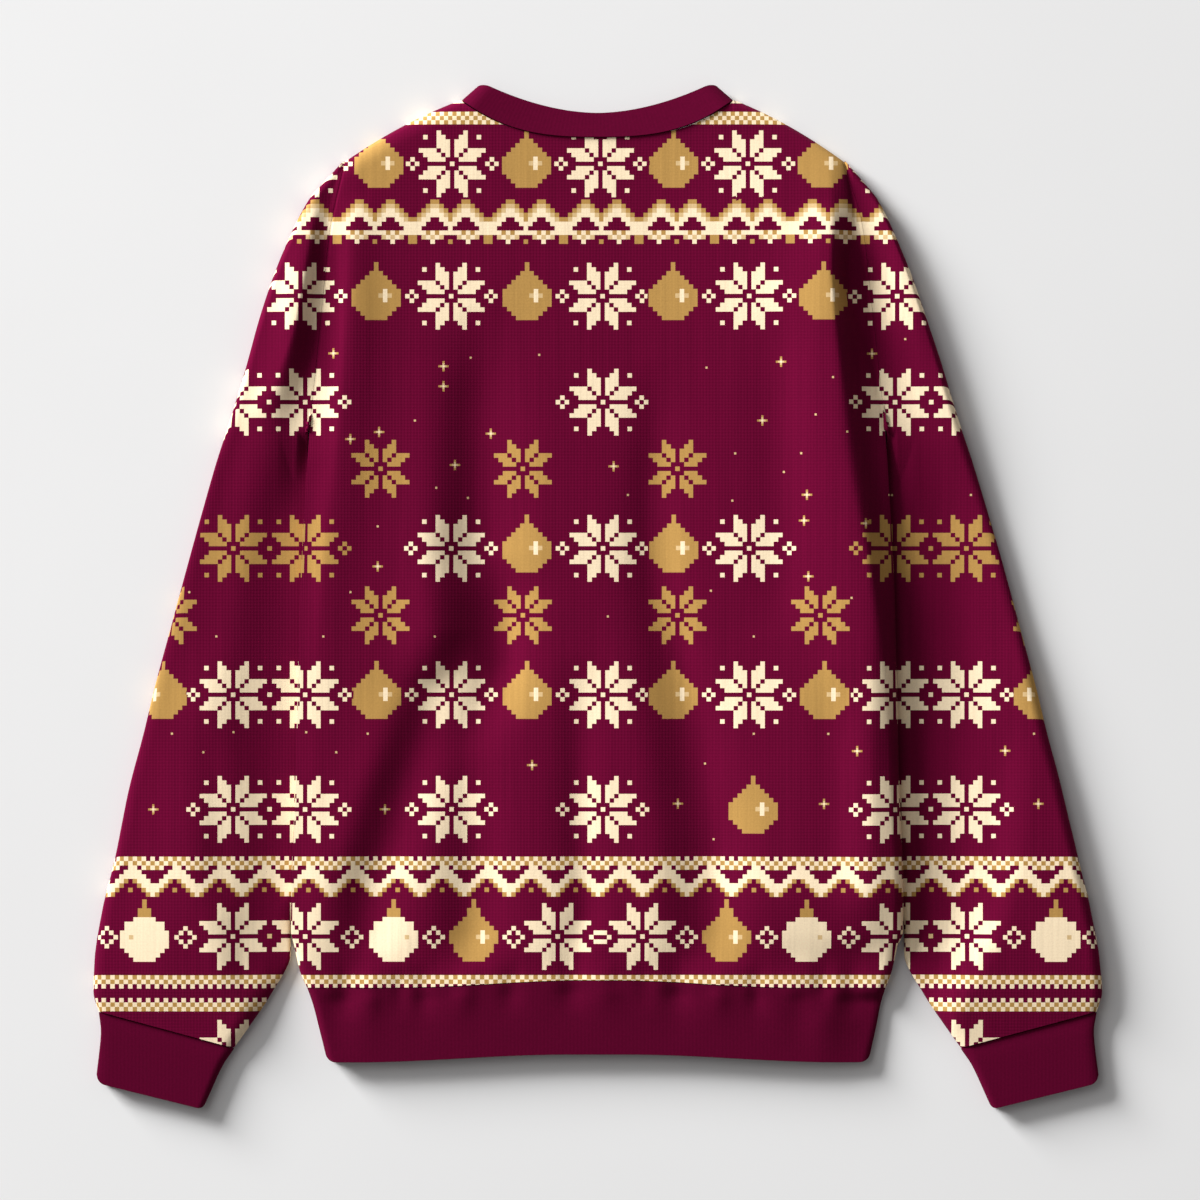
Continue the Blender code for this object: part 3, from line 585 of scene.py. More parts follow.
waistband = {
    "wall": 2.4,
    "bottomY": -326.0,
    "gap": 0.24,
    "depth": 48.0,
    "hollow": 5.5,        # the bottom edge is this much higher at its middle,
    "hollowFrom": 20.0,   # from this distance from the side, over this width
    "hollowWidth": 150.0,
    "loftShare": 0.5,     # share of the depth in which it comes to its own height
    "pleatShare": 0.2,    # and in which its pleats begin
    "corner": 8.0,
    "roll": 7.0,
    "loft": 11.2,
    "rows": 26,
    "topColumns": 176,
    "lowColumns": 90,
    "rollColumns": 8,
}
waistPleats = [(-182, 10, 60, -1.6), (-160, 8, 50, 1.0), (-120, 9, 40, -1.2), (-96, 8, 36, 0.8),
               (-62, 8, 34, -0.8), (-18, 10, 40, -1.2), (10, 8, 34, 0.8), (56, 10, 46, -1.6),
               (84, 8, 36, 1.0), (112, 8, 40, -1.0), (140, 9, 60, -1.2), (160, 9, 60, 1.4),
               (194, 26, 130, -4.4)]


def waistbandGrid(values):
    # From the hem seam down to the open end, with round corners. The loop goes over the
    # top from left to right and comes back below.
    start = body["hemY"] - values["gap"]
    roll = values["roll"]
    turn = rollPlaces(roll, np.concatenate([[0], np.linspace(20, 90, values["rollColumns"])]))
    v = np.linspace(0, 1, values["rows"])[:, None]
    sideY = start + (values["bottomY"] + values["corner"] - start) * v
    left = -edgeValue("left", sideY)
    right = edgeValue("right", sideY)
    flats = []
    for columns in (values["topColumns"], values["lowColumns"]):
        share = np.linspace(0, 1, columns + 1)[1:-1]
        flats.append(left + roll + (right - left - 2 * roll) * share)
    above = np.concatenate([left + turn, flats[0], right - turn[::-1]], axis=1)
    below = np.concatenate([right - turn[1:], flats[1][:, ::-1], left + turn[:0:-1]], axis=1)
    x = np.concatenate([above, below], axis=1)
    fromSide = np.minimum(x - left, right - x)
    corner = values["corner"] * (1 - quarterRound(fromSide / values["corner"]))
    hollow = values["hollow"] * smooth((fromSide - values["hollowFrom"]) / values["hollowWidth"])
    seamY = start + hemBow(x)
    y = seamY + (values["bottomY"] + hollow + corner - seamY) * v
    sewn = backHeight(x, seamY)
    top = sewn + (values["loft"] - sewn) * smooth(v / values["loftShare"])
    pleats = gatherHeight(waistPleats, x, v * values["depth"])
    top = top + pleats * smooth(v / values["pleatShare"])
    level = np.where(np.arange(x.shape[1]) < above.shape[1], top, 0.0)
    seam = edgeValue("leftSeam", sideY)
    z = seam + (level - seam) * quarterRound(fromSide / roll)
    flatX = x + np.sign(x) * rollExtra(fromSide, roll)
    return np.stack([x, y, z], axis=2), np.stack([flatX, y], axis=2)


neckRib = {
    "wall": 2.4,
    "peakX": 81.0,        # top of the rib at each side
    "peakY": 359.9,
    "middleY": 338.6,
    "power": 1.85,
    "width": 18.0,
    "corner": 6.0,
    "loft": 9.6,
    "seamLoft": 1.3,      # the rib's sewn edge stands this far above the back
    "endGap": 1.2,
    "cornerCut": 0.22,
    "rows": 14,
    "columns": 110,
}


def neckRibGrid(values):
    # A band between the neckline and the rib's folded edge. The loop goes over the back
    # from left to right and returns below, along the front.
    columns = values["columns"]
    half = np.sin(np.linspace(-1, 1, columns + 1) * np.pi / 2)
    share = np.concatenate([half, half[::-1][1:-1]])
    onBack = np.arange(2 * columns) <= columns
    neckX = share * body["neckX"]
    seamX = share * (body["neckX"] - values["endGap"])
    seamY = np.where(onBack, backNeckline(neckX), frontNeckline(neckX)) + seamGap
    rise = values["peakY"] - values["middleY"]
    backY = values["middleY"] + rise * np.abs(share) ** values["power"]
    frontRise = values["peakY"] - (body["neckY"] - body["frontNeckDrop"] + values["width"])
    frontY = values["peakY"] - frontRise * np.sqrt(1 - share ** 2)
    fromSide = (1 - np.abs(share)) * values["peakX"]
    corner = (1 - quarterRound(fromSide / values["corner"])) * values["cornerCut"]
    v = np.linspace(0, 1, values["rows"])[:, None]
    reach = v * (1 - corner * v ** 2)
    x = seamX + (share * values["peakX"] - seamX) * reach
    y = seamY + (np.where(onBack, backY, frontY) - seamY) * reach
    sewn = backHeight(seamX, seamY) + values["seamLoft"]
    level = np.where(onBack, sewn * (1 - v) + values["loft"] * v, 0.0)
    fromPoint = np.hypot(body["neckX"] - np.abs(neckX), seamY - seamGap - body["neckY"])
    turn = quarterRound(fromPoint / body["shoulderRoll"])
    z = body["shoulderHeight"] + (level - body["shoulderHeight"]) * turn
    steps = np.hypot(np.diff(x, axis=1), np.diff(y, axis=1)).mean(axis=0)
    along = np.concatenate([[0], np.cumsum(steps)])
    flat = np.stack(np.broadcast_arrays(along, values["width"] * v), axis=2)
    return np.stack([x, y, z], axis=2), flat


# Charts of the knitted-look print, read from the top. Where columns or rows are mirrored a
# chart starts at its middle one. A chart with "middle", the row that lies on the motif's
# place, is eleven stitches wide and not mirrored unless "mirror" says so.
# c cream, g gold, t light tan, . the burgundy ground.
starRows = ["c.......", "..cccc..", ".c.cccc.", ".cc.cccc", ".ccc....", ".ccc....", "..cc..c.",
            "...c...."]
smallStarRows = ["g......", "..ggg..", ".g.ggg.", ".gg.ggg", ".ggg...", "..gg...", "...g..."]
baubleRows = [".....g.....", ".....g.....", "....ggg....", "...ggggg...", "..ggggggg..",
              ".ggggggggg.", "ggggggggggg", "ggggggggggg", "ggggggggggg", "ggggggggggg",
              ".ggggggggg.", "..ggggggg..", "...ggggg..."]


def withGlint(rows, row, column):
    # a small cream cross on a bauble
    grid = [list(text) for text in rows]
    for down, right, colour in ((0, 0, "c"), (1, 0, "c"), (-1, 0, "c"), (0, 1, "t"), (0, -1, "t")):
        if 0 <= column + right < 11:
            grid[row + down][column + right] = colour
    return ["".join(text) for text in grid]


tallRows = [".....g.....", ".....g.....", "....ggg....", "....ggg....", "...ggggg...",
            "..ggggggg..", ".ggggggggg.", "ggggggggggg", "ggggggggggg", "ggggggggggg",
            ".ggggggggg.", ".ggggggggg.", "..ggggggg..", "...ggggg..."]
creamRows = [".....g.....", ".....g.....", "....ggg....", "....ggg....", "...ccccc...",
             ".ccccccccc.", ".ccccccccc.", "ccccccccccc", "cccccccctcc", "ccccccccccc",
             "ccccccccccc", ".ccccccccc.", "..ccccccc..", "...ccccc..."]
checkRows = ["cgcgcgcgcgc", "gcgcgcgcgcg"]
dashRow = "c.c.c.c.c.c"
charts = {
    "star": {"rows": starRows},
    "plainStar": {"rows": starRows[:6] + ["..cc....", "...c...."]},
    "goldStar": {"rows": [text.replace("c", "g") for text in starRows]},
    "smallStar": {"rows": smallStarRows},
    "bauble": {"rows": withGlint(baubleRows, 7, 7), "middle": 7},
    "baubleLeft": {"rows": withGlint(baubleRows, 7, 3), "middle": 7},
    "tallBauble": {"rows": withGlint(tallRows, 8, 7), "middle": 8},
    "creamBauble": {"rows": creamRows, "middle": 8},
    "creamBaubleLeft": {"rows": [text[::-1] for text in creamRows], "middle": 8},
    "ring": {"rows": [".c", "c."]},
    "goldRing": {"rows": [".g", "g."]},
    "wideRing": {"rows": ["..c", ".c.", "c.."]},
    "oval": {"rows": ["..c", "cc."]},
    "spark": {"rows": ["ctg", "t..", "g.."]},
    "dot": {"rows": ["c"]},
    "goldDot": {"rows": ["g"]},
    "tanDot": {"rows": ["t"]},
    "peaks": {"rows": ["...gg....", "..gttg...", ".gtcctg..", "gtcccctg.", "gcc..cctg",
                       "cc....ccc", "c......cc", "cccgcgccc", "..tctct.g", "g...c...g"],
              "mirror": (1, 0), "middle": 5, "period": 17},
    "waves": {"rows": ["gcgc.c.cgcg", "cgcgcgcgcgc", "cc.cgcgc..c", "ccc......cc", "cccc....ccc",
                       ".gccc..ccg.", "..gcccccg..", "g..gcccg..g", "....gcg...."],
              "middle": 4, "period": 10},
    "hemChecks": {"rows": checkRows + [dashRow], "middle": 1, "period": 10},
    "cuffChecks": {"rows": [dashRow] + checkRows[::-1], "middle": 1, "period": 10},
    "shoulderChecks": {"rows": checkRows + checkRows[:1], "middle": 1, "period": 10},
    "shoulderLine": {"rows": ["ccccccccccc"], "middle": 0, "period": 10},
}
stitch = 3.115            # width and height of one stitch of the print
sparkle = 1.45            # the same in the scattered sparkles
motifMargin = 2.0         # faces this near to a stitch belong to its motif
emptyStitch = 1e6         # stitch of a face that belongs to none
farAway = 1e4

# The print in rows from shoulder to hem: height, then each motif's places across.
printRows = [
    (302.6, {"star": [-205.7, -101.9, 1.8, 104.9, 207.4],
             "ring": [-176.3, -129.6, -74.1, -25.8, 29.4, 77.1, 133.3, 180]}),
    (303.0, {"bauble": [-153.2, -49.9, 53.0, 156.9]}),
    (210.0, {"star": [-207.8, -102.6, 3.3, 105.8, 209.4],
             "ring": [-179.8, -130.1, -74.8, -24.9, 30.9, 77.6, 133.8, 180]}),
    (210.4, {"bauble": [-155, -49.5, 52.6, 157.6]}),
    (135.9, {"star": [-255.3, -204.8, 3.6, 208, 258.4], "ring": [-177, -24.8, 30.6, 180],
             "dot": [-229.9, 233.2]}),
    (89.3, {"smallStar": [-152, -52.5, 55.7]}),
    (33.6, {"goldStar": [-255.1, -204.8, 208, 258], "goldRing": [-177, 180],
            "star": [-102.6, 3.6, 105.8], "ring": [-130.8, -74.8, -24.8, 30.9, 77.8, 133.8],
            "goldDot": [-229.9, 233.2]}),
    (33.9, {"bauble": [-49.7, 53.1]}),
    (-13.2, {"smallStar": [-301, -152, -52.5, 55.7, 155.4, 311]}),
    (-68.8, {"star": [-255.2, -204.8, -102.4, 3.6, 105.8, 208, 258.2],
             "ring": [-283.1, -177, -130.3, -74.8, -24.7, 31.2, 77.6, 133.8, 180, 286.1],
             "dot": [-229.9, 233.2]}),
    (-68.5, {"bauble": [-154.8, -49.5, 52.8, 158.3], "baubleLeft": [-304.8, 308.1]}),
    (-149.0, {"star": [-255.2, -204.8, -102.4, 3.6, 208, 258.2],
              "ring": [-283.1, -177, -130.3, -74.8, -24.7, 31.2, 180, 286.1],
              "dot": [-229.9, 233.2]}),
    (-148.7, {"bauble": [108.6]}),
    (-237.9, {"plainStar": [-255.3, -204.7, -28.1, 31.2, 207.8, 258.4], "tanDot": [-229.9, 233.2]}),
    (-238.4, {"creamBaubleLeft": [-317.1], "creamBauble": [-142.9, 146, 320.3], "tallBauble": [-86.9, 90.1],
              "wideRing": [-343.5, -288.3, -172, -114.8, -58.9, 62.3, 118.2, 175.4, 291.1, 346.6],
              "oval": [1.7]}),
    (-319.6, {"plainStar": [-255.3, 258.4]}),
]
# Bands that run right across: chart, place of one repeat, height, stitch.
printBands = [
    ("peaks", 2.4, 260.6, 3.105), ("waves", 0.07, -196.0, stitch), ("hemChecks", 0.0, -269.6, stitch),
    ("cuffChecks", 0.0, -285.6, stitch), ("shoulderChecks", 0.0, 334.65, 2.95),
    ("shoulderLine", 0.0, 346.5, 2.6),
]
sparkles = {
    "spark": [(-185, 170), (-108, 161), (-75, 114), (-100, 92), (-154, 21), (-108, 147), (-153, 115),
             (-173, 110), (128, 164), (115, 123), (192, 170), (11, 91), (146, 71), (144, 53), (147, 14),
             (187, 51), (-46, -118), (181, -108), (285, -108), (-311, -149), (-149, -149), (308, -145),
             (56, -145), (158, -145)],
    "tanDot": [(-89, 167), (-41, 169), (-128, 123), (-113, 76), (-91, 69), (-154, 49), (-173, 3),
               (-286, 3), (-267, -28), (-192, -28), (-114, -28), (76, 160), (164, 153), (152, 127),
               (174, 115), (96, 100), (142, 100), (130, 87), (21, 71), (94, 67), (79, 4), (177, -1),
               (7, -14), (109, -28), (206, 71), (261, 71), (215, 180), (-276, -109), (-183, -109),
               (-298, -96), (-255, -95), (-204, -95), (-161, -96), (161, -96), (109, -96), (305, -96),
               (75, -117), (81, -170)],
}


def numberCharts():
    # gives each chart its first row in one long list, with three empty rows between charts
    listed = ["", "", ""]
    for chart in charts.values():
        chart["mirror"] = chart.get("mirror", (0, 0) if "middle" in chart else (1, 1))
        if "period" in chart and chart["mirror"][0]:
            # the neighbouring repeat begins as this one ends
            chart["rows"] = [text + text[-1] + text[-2] for text in chart["rows"]]
        chart["first"] = len(listed)
        listed += chart["rows"] + ["", "", ""]
        chart["middle"] = chart.get("middle", 0)
        stitches = []
        for down, text in enumerate(chart["rows"]):
            for across, colour in enumerate(text):
                if colour == ".":
                    continue
                columns = (across, -across) if chart["mirror"][0] else (across - 5,)
                rows = (down, -down) if chart["mirror"][1] else (chart["middle"] - down,)
                stitches += [(column, row) for column in columns for row in rows]
        chart["stitches"] = np.array(stitches, dtype=float)
    return listed


chartRows = numberCharts()


def printPlaces():
    # every motif as (chart, x, y, stitch)
    places = [(name, x, y, size) for name, x, y, size in printBands]
    for y, motifs in printRows:
        for name, across in motifs.items():
            places += [(name, x, y, stitch) for x in across]
    for name, spots in sparkles.items():
        places += [(name, x, y, sparkle) for x, y in spots]
    return places


def layPrint(flat, closed, plainFrom):
    # Each face takes the motif whose stitches lie nearest to its middle; faces from one
    # column on stay plain. Returns the face corners' places in their motif, in stitches,
    # and each face's chart row and whether its columns and rows are mirrored.
    if closed:
        flat = np.concatenate([flat, flat[:, :1]], axis=1)
    corners = np.stack([flat[:-1, :-1], flat[:-1, 1:], flat[1:, 1:], flat[1:, :-1]], axis=2)
    corners = corners.reshape(-1, 4, 2)
    centre = corners.mean(axis=1)
    if plainFrom:
        centre.reshape(len(flat) - 1, -1, 2)[:, plainFrom:] = farAway
    nearest = np.full(len(centre), motifMargin)
    origin = np.zeros((len(centre), 2))
    size = np.full(len(centre), emptyStitch)
    chartData = np.zeros((len(centre), 3))
    for name, x, y, cell in printPlaces():
        chart = charts[name]
        away = (centre - (x, y)) / cell
        repeat = np.zeros(len(centre))
        if "period" in chart:
            repeat = np.round(away[:, 0] / chart["period"]) * chart["period"]
            away = away - np.stack([repeat, 0 * repeat], axis=1)
        low = chart["stitches"].min(axis=0) - 0.5 - motifMargin / cell
        high = chart["stitches"].max(axis=0) + 0.5 + motifMargin / cell
        near = np.nonzero(np.all((away > low) & (away < high), axis=1))[0]
        gaps = np.abs(away[near, None, :] - chart["stitches"][None, :, :]).max(axis=2).min(axis=1)
        gaps = (gaps - 0.5) * cell
        closer = gaps < nearest[near]
        taken = near[closer]
        nearest[taken] = gaps[closer]
        origin[taken, 0] = x + repeat[taken] * cell
        origin[taken, 1] = y
        size[taken] = cell
        chartData[taken] = (chart["first"] + chart["middle"], *chart["mirror"])
    place = (corners - origin[:, None, :]) / size[:, None, None]
    return place.reshape(-1, 2), chartData, corners.reshape(-1, 2) * mm


def linear(code):
    # sRGB hex code to linear colour
    parts = np.array([int(code[n:n + 2], 16) / 255 for n in (1, 3, 5)])
    low = parts / 12.92
    high = ((parts + 0.055) / 1.055) ** 2.4
    return (*np.where(parts <= 0.04045, low, high).tolist(), 1.0)


def addNode(tree, kind, links={}, **settings):
    # links join inputs to values, nodes or outputs; settings are the node's own values
    node = tree.nodes.new("ShaderNode" + kind)
    for name, value in settings.items():
        setattr(node, name, value)
    for key, value in links.items():
        if isinstance(value, bpy.types.Node):
            value = value.outputs[0]
        if isinstance(value, bpy.types.NodeSocket):
            tree.links.new(value, node.inputs[key])
        else:
            node.inputs[key].default_value = value
    return node


def newMaterial(name):
    # an empty node material, and addNode for its tree
    material = bpy.data.materials.new(name)
    material.use_nodes = True
    material.node_tree.nodes.clear()
    return material, functools.partial(addNode, material.node_tree)


fleece = {
    "ground": "#65062E",
    "cream": "#FDE7C3",
    "gold": "#BA9050",
    "tan": "#DBBB88",
    "roughness": 0.93,
    "sheen": 0.03,
    "sheenTint": "#E8B9CB",
    "napShade": 0.05,
    "knitPitch": 0.0022,  # the real stitches are 1.5 mm; drawn coarser so that they show
    "knitShade": 0.018,
    "streakShade": 0.07,
    "bumpStrength": 0.3,
    "bumpDepth": 0.00008,
}
rib = {
    "colour": "#570427",
    "ribPitch": 0.0026,   # doubled 1x1 rib, its wales 1.3 mm; drawn at twice that to show
    "roughness": 0.92,
    "sheen": 0.03,
    "sheenTint": "#D9A6BA",
    "napShade": 0.08,
    "waleShade": 0.015,
    "bumpStrength": 0.2,
    "bumpDepth": 0.00006,
}

rampRows = 256.0          # chart rows along the whole ramp, and as many as one ramp holds
rampStops = 30


def chartColour(add):
    # Looks the print up in its charts. The place in the motif is rounded to a stitch, the
    # stitch's row picks a stop of a stepped ramp, and that stop's red, green and blue each
    # hold four stitches as digits of base four, the first the most significant.
    place = add("SeparateXYZ", {0: add("UVMap", uv_map="motif")})
    data = add("Attribute", attribute_name="chart")
    data = add("SeparateXYZ", {0: data.outputs["Vector"]})
    rounded = []
    absolute = []
    for axis in (0, 1):
        half = add("Math", {0: place.outputs[axis], 1: 0.5}, operation="ADD")
        rounded.append(add("Math", {0: half}, operation="FLOOR"))
        absolute.append(add("Math", {0: rounded[axis]}, operation="ABSOLUTE"))
    # column: counted from the middle where mirrored, else from the left edge
    column = add("Math", {0: rounded[0], 1: 5.0}, operation="ADD")
    change = add("Math", {0: absolute[0], 1: column}, operation="SUBTRACT")
    column = add("Math", {0: change, 1: data.outputs[1], 2: column}, operation="MULTIPLY_ADD")
    # row: the middle row less the height, or plus the distance where mirrored
    twice = add("Math", {0: rounded[1], 1: absolute[1]}, operation="ADD")
    row = add("Math", {0: data.outputs[0], 1: rounded[1]}, operation="SUBTRACT")
    row = add("Math", {0: twice, 1: data.outputs[2], 2: row}, operation="MULTIPLY_ADD")
    row = add("Math", {0: row, 1: 0.5}, operation="ADD")
    row = add("Math", {0: row, 1: rampRows}, operation="DIVIDE")

    total = None
    for first in range(1, len(chartRows), rampStops):
        texts = chartRows[first:first + rampStops]
        node = add("ValToRGB", {0: row})
        stops = node.color_ramp.elements
        node.color_ramp.interpolation = "CONSTANT"
        stops[0].color = (0, 0, 0, 1)
        stops[1].color = (0, 0, 0, 1)
        stops[1].position = (first + len(texts) - 0.5) / rampRows
        for n, text in enumerate(texts):
            digits = np.array([".cgt".index(letter) for letter in text.ljust(12, ".")])
            packed = (digits.reshape(3, 4) * 0.25 ** np.arange(1, 5)).sum(axis=1) + 0.5 * 0.25 ** 4
            stops.new((first + n - 0.5) / rampRows).color = (*packed.tolist(), 1)
        links = {0: node} if total is None else {0: total, 1: node}
        total = add("VectorMath", links, operation="ADD")

    # the channel that holds the column, then the column's digit in it
    quarter = add("Math", {0: column, 1: 4.0}, operation="DIVIDE")
    channel = add("Math", {0: quarter}, operation="FLOOR")
    parts = {}
    for n in range(3):
        parts[n] = add("Math", {0: channel, 1: float(n), 2: 0.1}, operation="COMPARE")
    picked = add("CombineXYZ", parts)
    packed = add("VectorMath", {0: total, 1: picked}, operation="DOT_PRODUCT")
    digit = add("Math", {0: channel, 1: -4.0, 2: column}, operation="MULTIPLY_ADD")
    power = add("Math", {0: 4.0, 1: digit}, operation="POWER")
    power = add("Math", {0: power}, operation="ROUND")
    shifted = add("Math", {0: packed.outputs["Value"], 1: power}, operation="MULTIPLY")
    shifted = add("Math", {0: shifted}, operation="FRACT")
    return add("ValToRGB", {0: shifted})


def finishCloth(add, values, colour, height):
    # matt fibres: hardly any gloss, and a pale bloom where the cloth turns away
    bump = add("Bump", {"Height": height, "Strength": values["bumpStrength"],
                        "Distance": values["bumpDepth"]})
    shader = add("BsdfPrincipled", {
        "Base Color": colour, "Roughness": values["roughness"], "Specular IOR Level": 0.03,
        "Sheen Weight": values["sheen"], "Sheen Roughness": 0.45,
        "Sheen Tint": linear(values["sheenTint"]), "Normal": bump})
    add("OutputMaterial", {0: shader})


def fleeceMaterial(name, values, printed):
    # Brushed polyester fleece with a printed face: quite matt, a fine regular knit that
    # only just shows, faint streaks along the wales and a pale bloom where it turns away.
    material, add = newMaterial(name)
    ground = linear(values["ground"])
    if printed:
        palette = chartColour(add)
        palette.color_ramp.interpolation = "CONSTANT"
        stops = palette.color_ramp.elements
        stops[1].position = 0.25
        stops.new(0.5)
        stops.new(0.75)
        for stop, key in zip(stops, ("ground", "cream", "gold", "tan")):
            stop.color = linear(values[key])
        base = palette.outputs[0]
    else:
        base = add("RGB").outputs[0]
        base.default_value = ground
    cloth = add("UVMap", uv_map="cloth")
    turns = 2 * math.pi / values["knitPitch"]
    split = add("SeparateXYZ", {0: cloth})
    waves = []
    for axis in (0, 1):
        angle = add("Math", {0: split.outputs[axis], 1: turns}, operation="MULTIPLY")
        waves.append(add("Math", {0: angle}, operation="SINE"))
    knit = add("Math", {0: waves[0], 1: waves[1]}, operation="ADD")
    stretched = add("Mapping", {0: cloth, 3: (330.0, 9.0, 1.0)})
    streaks = add("TexNoise", {"Vector": stretched, "Scale": 1.0, "Detail": 2.0})
    place = add("TexCoord").outputs["Object"]
    nap = add("TexNoise", {"Vector": place, "Scale": 900.0, "Detail": 3.0})
    # the print covers the knit, so its lines show on the ground colour only
    bare = add("SeparateColor", {0: base})
    bare = add("MapRange", {0: bare.outputs[1], 1: 0.02, 2: 0.2, 3: 1.0, 4: 0.2})
    lines = add("Math", {0: knit, 1: bare}, operation="MULTIPLY")
    shade = add("MapRange", {0: lines, 1: -2.0, 2: 2.0, 3: 1 - values["knitShade"],
                             4: 1 + values["knitShade"]})
    streak = add("MapRange", {0: streaks, 1: 0.25, 2: 0.75, 3: 1 - values["streakShade"],
                              4: 1 + values["streakShade"]})
    fuzz = add("MapRange", {0: nap, 1: 0.3, 2: 0.7, 3: 1 - values["napShade"], 4: 1 + values["napShade"]})
    shade = add("Math", {0: shade, 1: streak}, operation="MULTIPLY")
    shade = add("Math", {0: shade, 1: fuzz}, operation="MULTIPLY")
    colour = add("VectorMath", {0: base, "Scale": shade}, operation="SCALE")
    height = add("Math", {0: nap, 1: 2.0, 2: lines}, operation="MULTIPLY_ADD")
    finishCloth(add, values, colour, height)
    material.diffuse_color = ground
    return material


def ribMaterial(name, values):
    # Doubled cotton rib: darker than the fleece, matt, with fine wales across the band.
    material, add = newMaterial(name)
    cloth = add("UVMap", uv_map="cloth")
    split = add("SeparateXYZ", {0: cloth})
    angle = add("Math", {0: split.outputs[0], 1: 2 * math.pi / values["ribPitch"]}, operation="MULTIPLY")
    wale = add("Math", {0: angle}, operation="SINE")
    place = add("TexCoord").outputs["Object"]
    nap = add("TexNoise", {"Vector": place, "Scale": 700.0, "Detail": 3.0})
    shade = add("MapRange", {0: wale, 1: -1.0, 2: 1.0, 3: 1 - values["waleShade"],
                             4: 1 + values["waleShade"]})
    fuzz = add("MapRange", {0: nap, 1: 0.3, 2: 0.7, 3: 1 - values["napShade"], 4: 1 + values["napShade"]})
    shade = add("Math", {0: shade, 1: fuzz}, operation="MULTIPLY")
    colour = add("VectorMath", {0: linear(values["colour"])[:3], "Scale": shade}, operation="SCALE")
    height = add("Math", {0: nap, 1: wale}, operation="ADD")
    finishCloth(add, values, colour, height)
    material.diffuse_color = linear(values["colour"])
    return material


printedFleece = fleeceMaterial("printedFleece", fleece, True)
fleeceInside = fleeceMaterial("fleeceInside", fleece, False)
ribKnit = ribMaterial("ribKnit", rib)
print("materials ready:", len(chartRows), "chart rows")

# the frame's origin in the tables, from the low corner of the back in both
tableCorner = (-214.3, -273.7)
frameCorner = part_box("back_body")[0]
middle = np.array([tableCorner[0] - frameCorner[0] / mm, tableCorner[1] - frameCorner[1] / mm])


def holdBorders(grid, flat, axis):
    # adds the narrow strip along the first and last line
    joined = np.moveaxis(np.concatenate([grid, flat], axis=2), axis, 0)
    strips = []
    for edge, inner in ((0, 1), (-1, -2)):
        step = joined[inner] - joined[edge]
        length = np.linalg.norm(step[:, :3], axis=1, keepdims=True)
        strips.append((joined[edge] + step * np.clip(borderStrip / np.maximum(length, 1e-6), 0, 0.5))[None])
    joined = np.concatenate([joined[:1], strips[0], joined[1:-1], strips[1], joined[-1:]])
    joined = np.moveaxis(joined, 0, axis)
    return joined[:, :, :3], joined[:, :, 3:]


def addCloth(name, grids, closed, flip, values, materials):
    # a grid of points becomes an open surface, and Solidify gives it its wall inwards
    grid, flat = holdBorders(*grids, 0)
    if not closed:
        grid, flat = holdBorders(grid, flat, 1)
    grid[:, :, :2] -= middle
    flat = flat - middle
    rows, columns = grid.shape[:2]
    index = np.arange(rows * columns).reshape(rows, columns)
    if closed:
        index = np.concatenate([index, index[:, :1]], axis=1)
    faces = np.stack([index[:-1, :-1], index[:-1, 1:], index[1:, 1:], index[1:, :-1]], axis=2)
    faces = faces.reshape(-1, 4)
    place, chartData, cloth = layPrint(flat, closed, values.get("plainFrom"))
    if flip:
        faces = faces[:, ::-1]
        place = place.reshape(-1, 4, 2)[:, ::-1].reshape(-1, 2)
        cloth = cloth.reshape(-1, 4, 2)[:, ::-1].reshape(-1, 2)
    mesh = bpy.data.meshes.new(name)
    mesh.from_pydata((grid.reshape(-1, 3) * mm).tolist(), [], faces.tolist())
    if len(materials) > 1:
        mesh.uv_layers.new(name="motif").data.foreach_set("uv", place.ravel())
        mesh.attributes.new("chart", "FLOAT_VECTOR", "FACE").data.foreach_set("vector", chartData.ravel())
    mesh.uv_layers.new(name="cloth").data.foreach_set("uv", cloth.ravel())
    for material in materials:
        mesh.materials.append(material)
    mesh.shade_smooth()
    piece = bpy.data.objects.new(name, mesh)
    bpy.context.scene.collection.objects.link(piece)
    shell = piece.modifiers.new("wall", "SOLIDIFY")
    shell.thickness = values["wall"] * mm
    shell.offset = -1.0
    shell.material_offset = len(materials) - 1
    return piece


fleeceParts = [printedFleece, fleeceInside]
backValues = {"rowsBelow": 142, "rowsAbove": 62, "rollRows": 9, "lipAngle": 30, "rollColumns": 13,
              "sideColumns": 34, "neckColumns": 94}
frontValues = {"rowsBelow": 96, "rowsAbove": 42, "rollRows": 7, "lipAngle": 38, "rollColumns": 6,
               "sideColumns": 24, "neckColumns": 64}
back = addCloth("shirtBack", panelGrid(1, backValues), False, False, body, fleeceParts)
front = addCloth("shirtFront", panelGrid(-1, frontValues), False, True, body, fleeceParts)
print("body ready")
tubes = {}
for name, table, values, materials in (("Sleeve", sleeveSections, sleeve, fleeceParts),
                                       ("Cuff", cuffSections, cuff, [ribKnit])):
    for side in ("left", "right"):
        grids = tubeGrid(table, -1 if side == "left" else 1, values)
        tubes[side + name] = addCloth(side + name, grids, True, side == "right", values, materials)
print("sleeves and cuffs ready")
hemBand = addCloth("hemBand", waistbandGrid(waistband), True, True, waistband, [ribKnit])
collar = addCloth("neckRib", neckRibGrid(neckRib), True, False, neckRib, [ribKnit])
print("waistband and neck rib ready")

